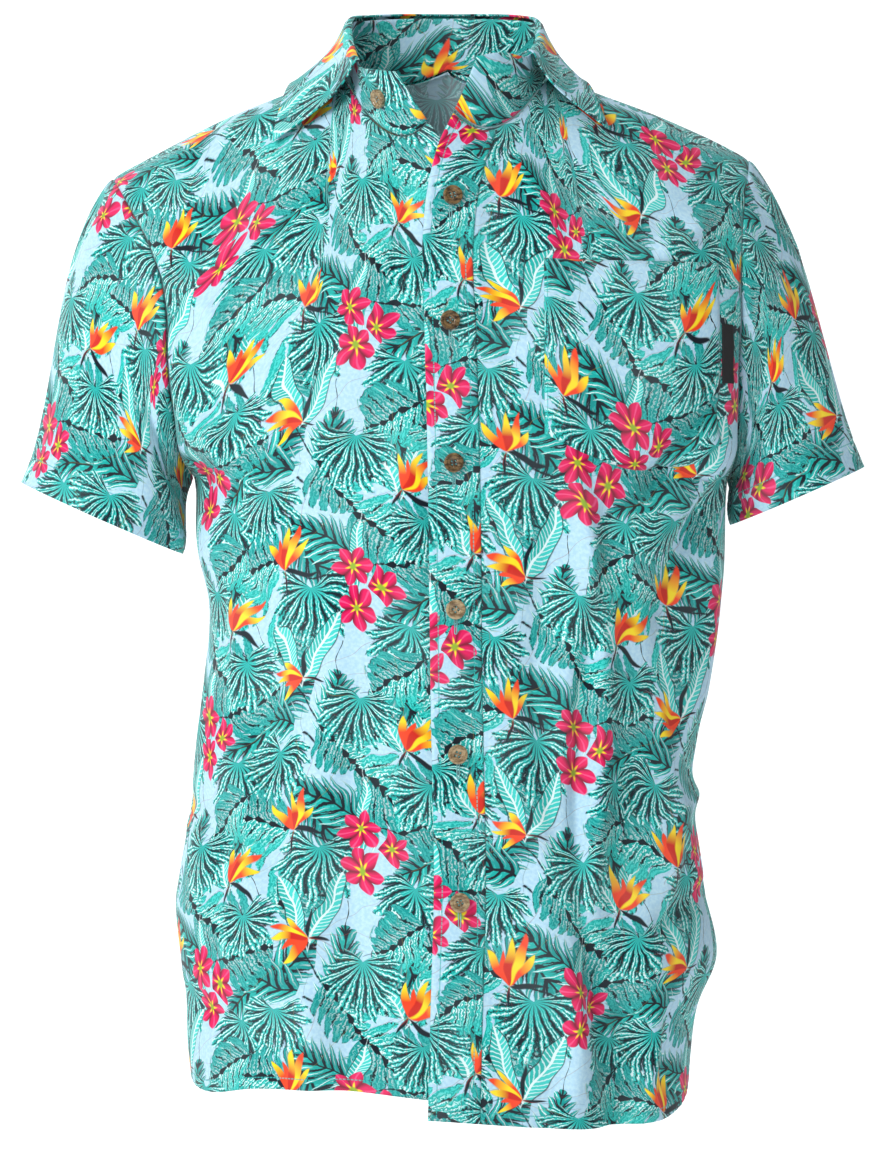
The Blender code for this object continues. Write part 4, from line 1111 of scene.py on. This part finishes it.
def column_at(v, distance):
    """The u at a distance from the left front's free edge, along each row v."""
    samples = np.linspace(0, 0.5, 121)
    found = []
    for row in v:
        points, _ = panel(LEFT, FRONT, samples, np.full_like(samples, row))
        found.append(np.interp(distance, lengths(points[None], 1)[0], samples))
    return np.array(found)


def where_front(x, z):
    """The u and v of places on the left front given as x and z in millimetres, found step by step."""
    u, v = np.full(x.shape, 0.6), np.full(x.shape, 1.2)
    for _ in range(SEEKS):
        here, _ = panel(LEFT, FRONT, u, v)
        side, _ = panel(LEFT, FRONT, u + SEEK_STEP, v)
        over, _ = panel(LEFT, FRONT, u, v + SEEK_STEP)
        a, b = (side - here)[..., 0] / SEEK_STEP, (over - here)[..., 0] / SEEK_STEP
        c, d = (side - here)[..., 2] / SEEK_STEP, (over - here)[..., 2] / SEEK_STEP
        dx, dz = x * MM - here[..., 0], z * MM - here[..., 2]
        det = a * d - b * c
        u = np.clip(u + SEEK_SHARE * (d * dx - b * dz) / det, 0.02, 0.98)
        v = np.clip(v + SEEK_SHARE * (a * dz - c * dx) / det, 0.6, 1.9)
    return u, v


def raised(cut, height, reach):
    """How far a sewn-on piece stands off the cloth under it, less at its edges."""
    across, up = cut[..., 0], cut[..., 1]
    inside = np.minimum(
        np.minimum(across - across.min(1, keepdims=True), across.max(1, keepdims=True) - across),
        np.minimum(up - up.min(0), up.max(0) - up),
    )
    return height * (EDGE_LIFT + (1 - EDGE_LIFT) * (1 - np.exp(-((inside / reach) ** 2))))


def make_placket():
    """The band down the left front's free edge."""
    v = np.concatenate([np.linspace(0, 1, LOWER_ROWS + 1)[:-1], np.linspace(1, PLACKET_TOP, UPPER_ROWS + 1)])
    edge = column_at(v, PLACKET_WIDTH)
    u = edge[:, None] * np.linspace(0, 1, PLACKET_COLUMNS + 1)
    points, normals = creased(LEFT, FRONT, u, v[:, None] + 0 * u)
    cut = flat_cut(points)
    lift = raised(cut, PLACKET_LIFT, 1.0 * MM) + stitched(cut[..., 1], cut[..., 0], HEM_STITCH)
    for line in PLACKET_STITCHES:
        groove = np.exp(-(((cut[..., 0] - line) / STITCH_GROOVE["reach"]) ** 2))
        lift -= STITCH_GROOVE["depth"] * groove
    pull = np.sin(2 * math.pi * cut[..., 1] / PLACKET_PULL["length"]) * np.sin(math.pi * cut[..., 0] / PLACKET_WIDTH)
    lift += PLACKET_PULL["height"] * pull
    return {"placket_cloth": cloth("placket_cloth", points + normals * lift[..., None], cut, normals)}


def make_pocket():
    """The chest pocket, standing a little open at its top."""
    across = np.linspace(0, 1, POCKET_COLUMNS + 1)
    up = np.linspace(0, 1, POCKET_ROWS + 1)[:, None]
    bottom = smooth(POCKET_BOTTOM["along"], POCKET_BOTTOM["height"], across)
    top = POCKET["top"] + POCKET_SAG * np.sin(math.pi * across)
    x = POCKET["inner"] + (POCKET["outer"] - POCKET["inner"]) * across + 0 * up
    z = bottom + (top - bottom) * up
    points, normals = creased(LEFT, FRONT, *where_front(x, z))
    cut = flat_cut(points)
    lift = raised(cut, POCKET_LIFT, 1.2 * MM)
    lift += POCKET_GAPE * np.sin(math.pi * across) * np.clip((up - 0.7) / 0.3, 0, 1) ** 2
    swell = undulation(x * 1.7 + 40, z * 1.5)
    lift += 0.5 * MM * swell * np.sin(math.pi * across) * np.sin(math.pi * np.clip(up, 0, 1)) ** 0.5
    band = np.exp(-(((cut[-1:, :, 1] - cut[..., 1] - POCKET_BAND) / STITCH_GROOVE["reach"]) ** 2))
    lift -= STITCH_GROOVE["depth"] * band
    return {"pocket_cloth": cloth("pocket_cloth", points + normals * lift[..., None], cut, normals)}


def make_tab():
    """The short black woven tab in the pocket's outer seam, folded and bare."""
    across = np.linspace(0, 1, TAB_COLUMNS + 1)
    up = np.linspace(0, 1, TAB_ROWS + 1)[:, None]
    x = TAB["inner"] + (TAB["outer"] - TAB["inner"]) * across + 0 * up
    z = TAB["bottom"] + (TAB["top"] - TAB["bottom"]) * up + 0 * across
    points, normals = creased(LEFT, FRONT, *where_front(x, z))
    cut = flat_cut(points)
    lift = TAB_LIFT * (0.5 + 0.9 * across) + 0.25 * MM * np.sin(9 * up + 2) * across
    piece = cloth("side_tab_tape", points + normals * (lift + 0 * up)[..., None], cut, normals, sheet=TAB_SHEET)
    return {"side_tab_tape": piece}


def risen(shape, grown, height):
    """Lifts what an extrusion has grown."""
    fresh = [item for item in grown["geom"] if isinstance(item, bmesh.types.BMVert)]
    bmesh.ops.translate(shape, verts=fresh, vec=(0, 0, height))


def rod(shape, segments, radius, depth, matrix, top=None):
    """A capped rod in a shape, with another radius at its top if one is given."""
    sizes = {"radius1": radius, "radius2": top or radius, "depth": depth}
    return bmesh.ops.create_cone(shape, cap_ends=True, segments=segments, matrix=matrix, **sizes)


def facing(point, normal, lift):
    """The place and turn of something that sits on a point and faces along its normal."""
    normal = Vector(normal)
    return Matrix.Translation(Vector(point) + normal * lift) @ normal.to_track_quat("Z", "Y").to_matrix().to_4x4()


def button_shape():
    """A horn button lying on z = 0: a rounded rim and a dished middle, its four holes still to be cut."""
    disc = bmesh.new()
    bmesh.ops.create_circle(disc, cap_ends=True, cap_tris=False, segments=48, radius=BUTTON["radius"])
    grown = bmesh.ops.extrude_face_region(disc, geom=disc.faces[:])
    risen(disc, grown, BUTTON["thickness"])
    rim = [edge for edge in disc.edges if abs(edge.verts[0].co.z - edge.verts[1].co.z) < SEAM_GAP]
    bmesh.ops.bevel(disc, geom=rim, offset=BUTTON["round"], segments=4, profile=0.5, affect="EDGES", material=-1)
    face = max(disc.faces, key=lambda found: (round(found.calc_center_median().z, 6), found.calc_area()))
    bmesh.ops.inset_region(disc, faces=[face], thickness=BUTTON["rim"], depth=0.0)
    bmesh.ops.inset_region(disc, faces=[face], thickness=BUTTON["slope"], depth=-BUTTON["dish"])
    width, depth = BUTTON["hollow"]
    bmesh.ops.inset_region(disc, faces=[face], thickness=width, depth=depth)
    bmesh.ops.recalc_face_normals(disc, faces=disc.faces)
    return disc


def hole_shape():
    """The four holes' cores, to be taken out of a button."""
    cores = bmesh.new()
    for x in (-1, 1):
        for y in (-1, 1):
            place = Matrix.Translation((x * BUTTON["spacing"], y * BUTTON["spacing"], 0))
            rod(cores, 20, BUTTON["hole"], 4 * BUTTON["thickness"], place)
    bmesh.ops.recalc_face_normals(cores, faces=cores.faces)
    return cores


def as_object(name, shape):
    """An object of a bmesh, at the origin."""
    mesh = bpy.data.meshes.new(name)
    shape.to_mesh(mesh)
    shape.free()
    mesh.shade_smooth()
    mesh.set_sharp_from_angle(angle=math.radians(SHARP_ANGLE))
    return linked(name, mesh)


def drilled_button():
    """The button's mesh with its holes cut."""
    button = as_object("button_blank", button_shape())
    cores = as_object("hole_cores", hole_shape())
    cutter = button.modifiers.new("holes", "BOOLEAN")
    cutter.operation = "DIFFERENCE"
    cutter.solver = "EXACT"
    cutter.object = cores
    graph = bpy.context.evaluated_depsgraph_get()
    mesh = bpy.data.meshes.new_from_object(button.evaluated_get(graph))
    bpy.data.objects.remove(button)
    bpy.data.objects.remove(cores)
    return mesh


def thread_shape():
    """The sewing thread over the bars between a button's holes, and its shank below."""
    threads = bmesh.new()
    for x in (-1, 1):
        for step in (-1, 1):
            across = x * BUTTON["spacing"] + step * STRAND["apart"]
            place = Matrix.Translation((across, 0, BUTTON["thickness"] - BUTTON["dish"])) @ QUARTER_TURN
            made = rod(threads, 10, STRAND["radius"], STRAND["reach"] * BUTTON["spacing"], place)
            for vertex in made["verts"]:
                vertex.co.z += STRAND["rise"] - (vertex.co.y / BUTTON["spacing"]) ** 2 * STRAND["fall"]
    below = Matrix.Translation((0, 0, -SHANK["below"]))
    rod(threads, 16, SHANK["foot"], SHANK["length"], below, top=SHANK["top"])
    return threads


def buttonhole_shape():
    """A worked buttonhole lying on z = 0, along y: a raised ring of stitches round a slit."""
    ring = bmesh.new()
    bmesh.ops.create_circle(ring, segments=10, radius=WORKED["radius"], matrix=QUARTER_TURN)
    bmesh.ops.translate(ring, verts=ring.verts, vec=(WORKED["half_width"], 0, 0))
    bmesh.ops.spin(
        ring,
        geom=ring.verts[:] + ring.edges[:],
        cent=(0, 0, 0),
        axis=(0, 0, 1),
        angle=2 * math.pi,
        steps=28,
        use_merge=True,
    )
    for vertex in ring.verts:
        vertex.co.y += math.copysign(BUTTONHOLE / 2, vertex.co.y) if abs(vertex.co.y) > 0.01 * MM else 0.0
        vertex.co.z *= WORKED["flatness"]
    bmesh.ops.recalc_face_normals(ring, faces=ring.faces)
    return ring


def placed(name, mesh, seat):
    """A copy of a mesh as an object with its place in its mesh."""
    copy = mesh.copy()
    copy.name = name
    copy.transform(seat)
    return linked(name, copy)


def seat_on_front(height, lift, distance=PLACKET_WIDTH / 2):
    """Where a button or buttonhole sits on the placket: at a height in millimetres, facing out."""
    levels = np.linspace(0, 2, 801)
    edge = panel(LEFT, FRONT, np.zeros_like(levels), levels)[0][:, 2] / MM
    v = np.array([np.interp(height, edge, levels)])
    points, normals = creased(LEFT, FRONT, column_at(v, distance), v)
    return facing(points[0], normals[0], lift)


def stand_seat():
    """Where the undone top button sits, on the outside of the stand's right end."""
    points, normals, _ = stand_grid()
    column = round(STAND_BUTTON["place"] / 4 * STAND_COLUMNS)
    row = round(STAND_BUTTON["level"] * STAND_DOWN)
    return facing(points[row, column], normals[row, column], STAND_BUTTON["lift"])


def make_fastenings():
    """The buttons with their threads, and the buttonholes."""
    buttons, trims = {}, {}
    drilled = drilled_button()
    thread = as_object("thread_blank", thread_shape())
    worked = as_object("buttonhole_blank", buttonhole_shape())
    seats = [("stand", stand_seat())]
    for number, height in enumerate(BUTTON_HEIGHTS, 1):
        seats.append((str(number), seat_on_front(height, PLACKET_LIFT + FRONT_BUTTON_LIFT)))
        hole = seat_on_front(height - BUTTONHOLE_DROP, PLACKET_LIFT)
        name = f"buttonhole_{number}"
        trims[name] = placed(name, worked.data, hole)
    for number, (label, seat) in enumerate(seats):
        turn = Matrix.Rotation(math.radians(BUTTON_TURNS[number]), 4, "Z")
        buttons[f"button_{label}"] = placed(f"button_{label}_horn", drilled, seat @ turn)
        trims[f"thread_{label}"] = placed(f"thread_{label}", thread.data, seat @ turn)
    bpy.data.objects.remove(thread)
    bpy.data.objects.remove(worked)
    return buttons, trims


def horn(name, pale):
    """Polished horn-like plastic, brown with darker streaks, or the paler kind."""
    material, shader, board = begun(name)
    place = board.node("ShaderNodeTexCoord", None, None, output=3)
    stretched = board.vector("MULTIPLY", place, (190.0, 420.0, 420.0))
    cloud = board.noise(stretched, 1.0, 3.0)
    dark, light = (paint("6A5438"), paint("B49C76")) if pale else (paint("241710"), paint("84683F"))
    colour = board.mix(cloud.ramp(0.35, 0.66), dark, light)
    fine = board.noise(board.vector("MULTIPLY", place, (900.0, 2600.0, 2600.0)), 1.0, 2.0)
    colour = board.mix(fine.ramp(0.5, 0.75) * 0.5, colour, dark)
    board.feed(shader["Base Color"], colour)
    board.feed(shader["Roughness"], cloud * 0.15 + 0.2)
    shader["Coat Weight"].default_value = 0.3
    shader["Coat Roughness"].default_value = 0.12
    return material


def woven_tape():
    """The tab's black tape, with its fine ribs across."""
    material, shader, board = begun("woven_tape")
    u, v = board.parts(board.scaled(board.node("ShaderNodeUVMap", {"uv_map": "cut"}), 1000.0))
    ribs = (v * (math.pi / 0.35)).maths("SINE") * 0.5 + (u * (math.pi / 0.5)).maths("SINE") * 0.3
    colour = board.mix(ribs.ramp(-0.6, 0.8), paint("0B0B0D"), paint("1E1E22"))
    bump = board.node("ShaderNodeBump", None, {"Strength": 0.6, "Distance": 0.0002, "Height": ribs})
    board.feed(shader["Base Color"], colour)
    board.feed(shader["Roughness"], ribs * 0.08 + 0.7)
    board.feed(shader["Normal"], bump)
    return material


def thread_finish():
    """Twisted sewing thread."""
    material, shader, board = begun("sewing_thread")
    place = board.node("ShaderNodeTexCoord", None, None, output=3)
    x, z = board.parts(place)
    twist = ((x + z) * 9000.0).maths("SINE")
    bump = board.node("ShaderNodeBump", None, {"Strength": 0.5, "Distance": 0.0001, "Height": twist})
    colour = board.mix(twist.ramp(-1.0, 1.0), paint("3F7F80"), paint("8CBFC0"))
    board.feed(shader["Base Color"], colour)
    board.feed(shader["Roughness"], twist * 0.05 + 0.7)
    board.feed(shader["Normal"], bump)
    return material


def plain(name, colour, roughness):
    """A plain studio surface with a very slight mottle."""
    material, shader, board = begun(name)
    cloud = board.noise(board.node("ShaderNodeTexCoord", None, None, output=3), 3.0)
    shade = board.mix(cloud.ramp(0.3, 0.7) * 0.04, colour, paint("DDE3E6"))
    board.feed(shader["Base Color"], shade)
    shader["Roughness"].default_value = roughness
    return material


def area_light(name, place, target, size, power):
    data = bpy.data.lights.new(name, "AREA")
    data.shape = "RECTANGLE"
    data.size, data.size_y = size
    data.energy = power
    light = linked(name, data)
    light.location = place
    light.rotation_euler = (Vector(target) - Vector(place)).to_track_quat("-Z", "Y").to_euler()


def make_studio():
    """A pale floor that curves up into a wall, soft lights, and the camera."""
    floor = bmesh.new()
    bmesh.ops.create_grid(floor, x_segments=1, y_segments=1, size=STUDIO["half_width"])
    far = [edge for edge in floor.edges if all(vertex.co.y > 0 for vertex in edge.verts)]
    grown = bmesh.ops.extrude_edge_only(floor, edges=far)
    risen(floor, grown, STUDIO["height"])
    bmesh.ops.translate(floor, verts=floor.verts, vec=(0, STUDIO["back"] - STUDIO["half_width"], STUDIO["floor"]))
    corner = [edge for edge in floor.edges if len(edge.link_faces) == 2]
    bmesh.ops.bevel(floor, geom=corner, offset=1.0, segments=16, profile=0.5, affect="EDGES", material=-1)
    bmesh.ops.recalc_face_normals(floor, faces=floor.faces)
    ground = as_object("studio_floor", floor)
    white = plain("studio_white", paint("F4F6F7"), 0.9)
    glow = white.node_tree.nodes["Principled BSDF"].inputs
    glow["Emission Color"].default_value = (1.0, 1.0, 1.0, 1.0)
    glow["Emission Strength"].default_value = LIGHTS["floor"]
    ground.data.materials.append(white)
    target = (0, 0, -0.3)
    area_light("key", (-1.5, -2.0, 0.9), target, (1.3, 1.5), LIGHTS["key"])
    area_light("fill", (2.2, -1.8, 0.1), target, (1.8, 1.8), LIGHTS["fill"])
    area_light("overhead", (0, 0.2, 2.0), target, (2.4, 1.6), LIGHTS["overhead"])
    area_light("rear", (-1.4, 1.9, 0.9), target, (1.6, 1.6), LIGHTS["rear"])
    world = bpy.data.worlds.new("studio_air")
    world.use_nodes = True
    air = world.node_tree.nodes["Background"]
    air.inputs["Color"].default_value = (0.95, 0.97, 1.0, 1.0)
    air.inputs["Strength"].default_value = LIGHTS["air"]
    bpy.context.scene.world = world
    data = bpy.data.cameras.new("camera")
    data.sensor_fit = "VERTICAL"
    data.sensor_height = 24.0
    data.lens = 24.0 * CAMERA["distance"] / CAMERA["view_height"]
    camera = linked("camera", data)
    camera.location = (CAMERA["x"], -CAMERA["distance"], CAMERA["z"])
    camera.rotation_euler = Euler((math.radians(90), 0, 0))
    bpy.context.scene.camera = camera
    bpy.context.scene.view_settings.view_transform = "Standard"


def finish_piece(piece, materials):
    """Gives a piece its finish and its body."""
    piece.data.materials.clear()
    for material in materials:
        piece.data.materials.append(material)
    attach(piece, "root")


PRINT = tropical_print()
make_studio()
pieces = {**make_sewn_cloths(), **make_placket(), **make_pocket(), **make_tab()}
for name, row in SHEETS.items():
    piece = pieces[name]
    if name == "side_tab_tape":
        outer = inner = woven_tape()
    else:
        outer = cotton(name + "_print", row["print"], lines=row["lines"])
        inner = cotton(name + "_back", row["print"], inside=row["inside"])
    finish_piece(piece, (outer, inner))
    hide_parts(row["node"])
buttons, trims = make_fastenings()
brown, pale = horn("brown_horn", False), horn("pale_horn", True)
for number, (node, piece) in enumerate(buttons.items()):
    finish_piece(piece, (pale if number in PALE_BUTTONS else brown,))
    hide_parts(node)
stitching = thread_finish()
for piece in trims.values():
    finish_piece(piece, (stitching,))
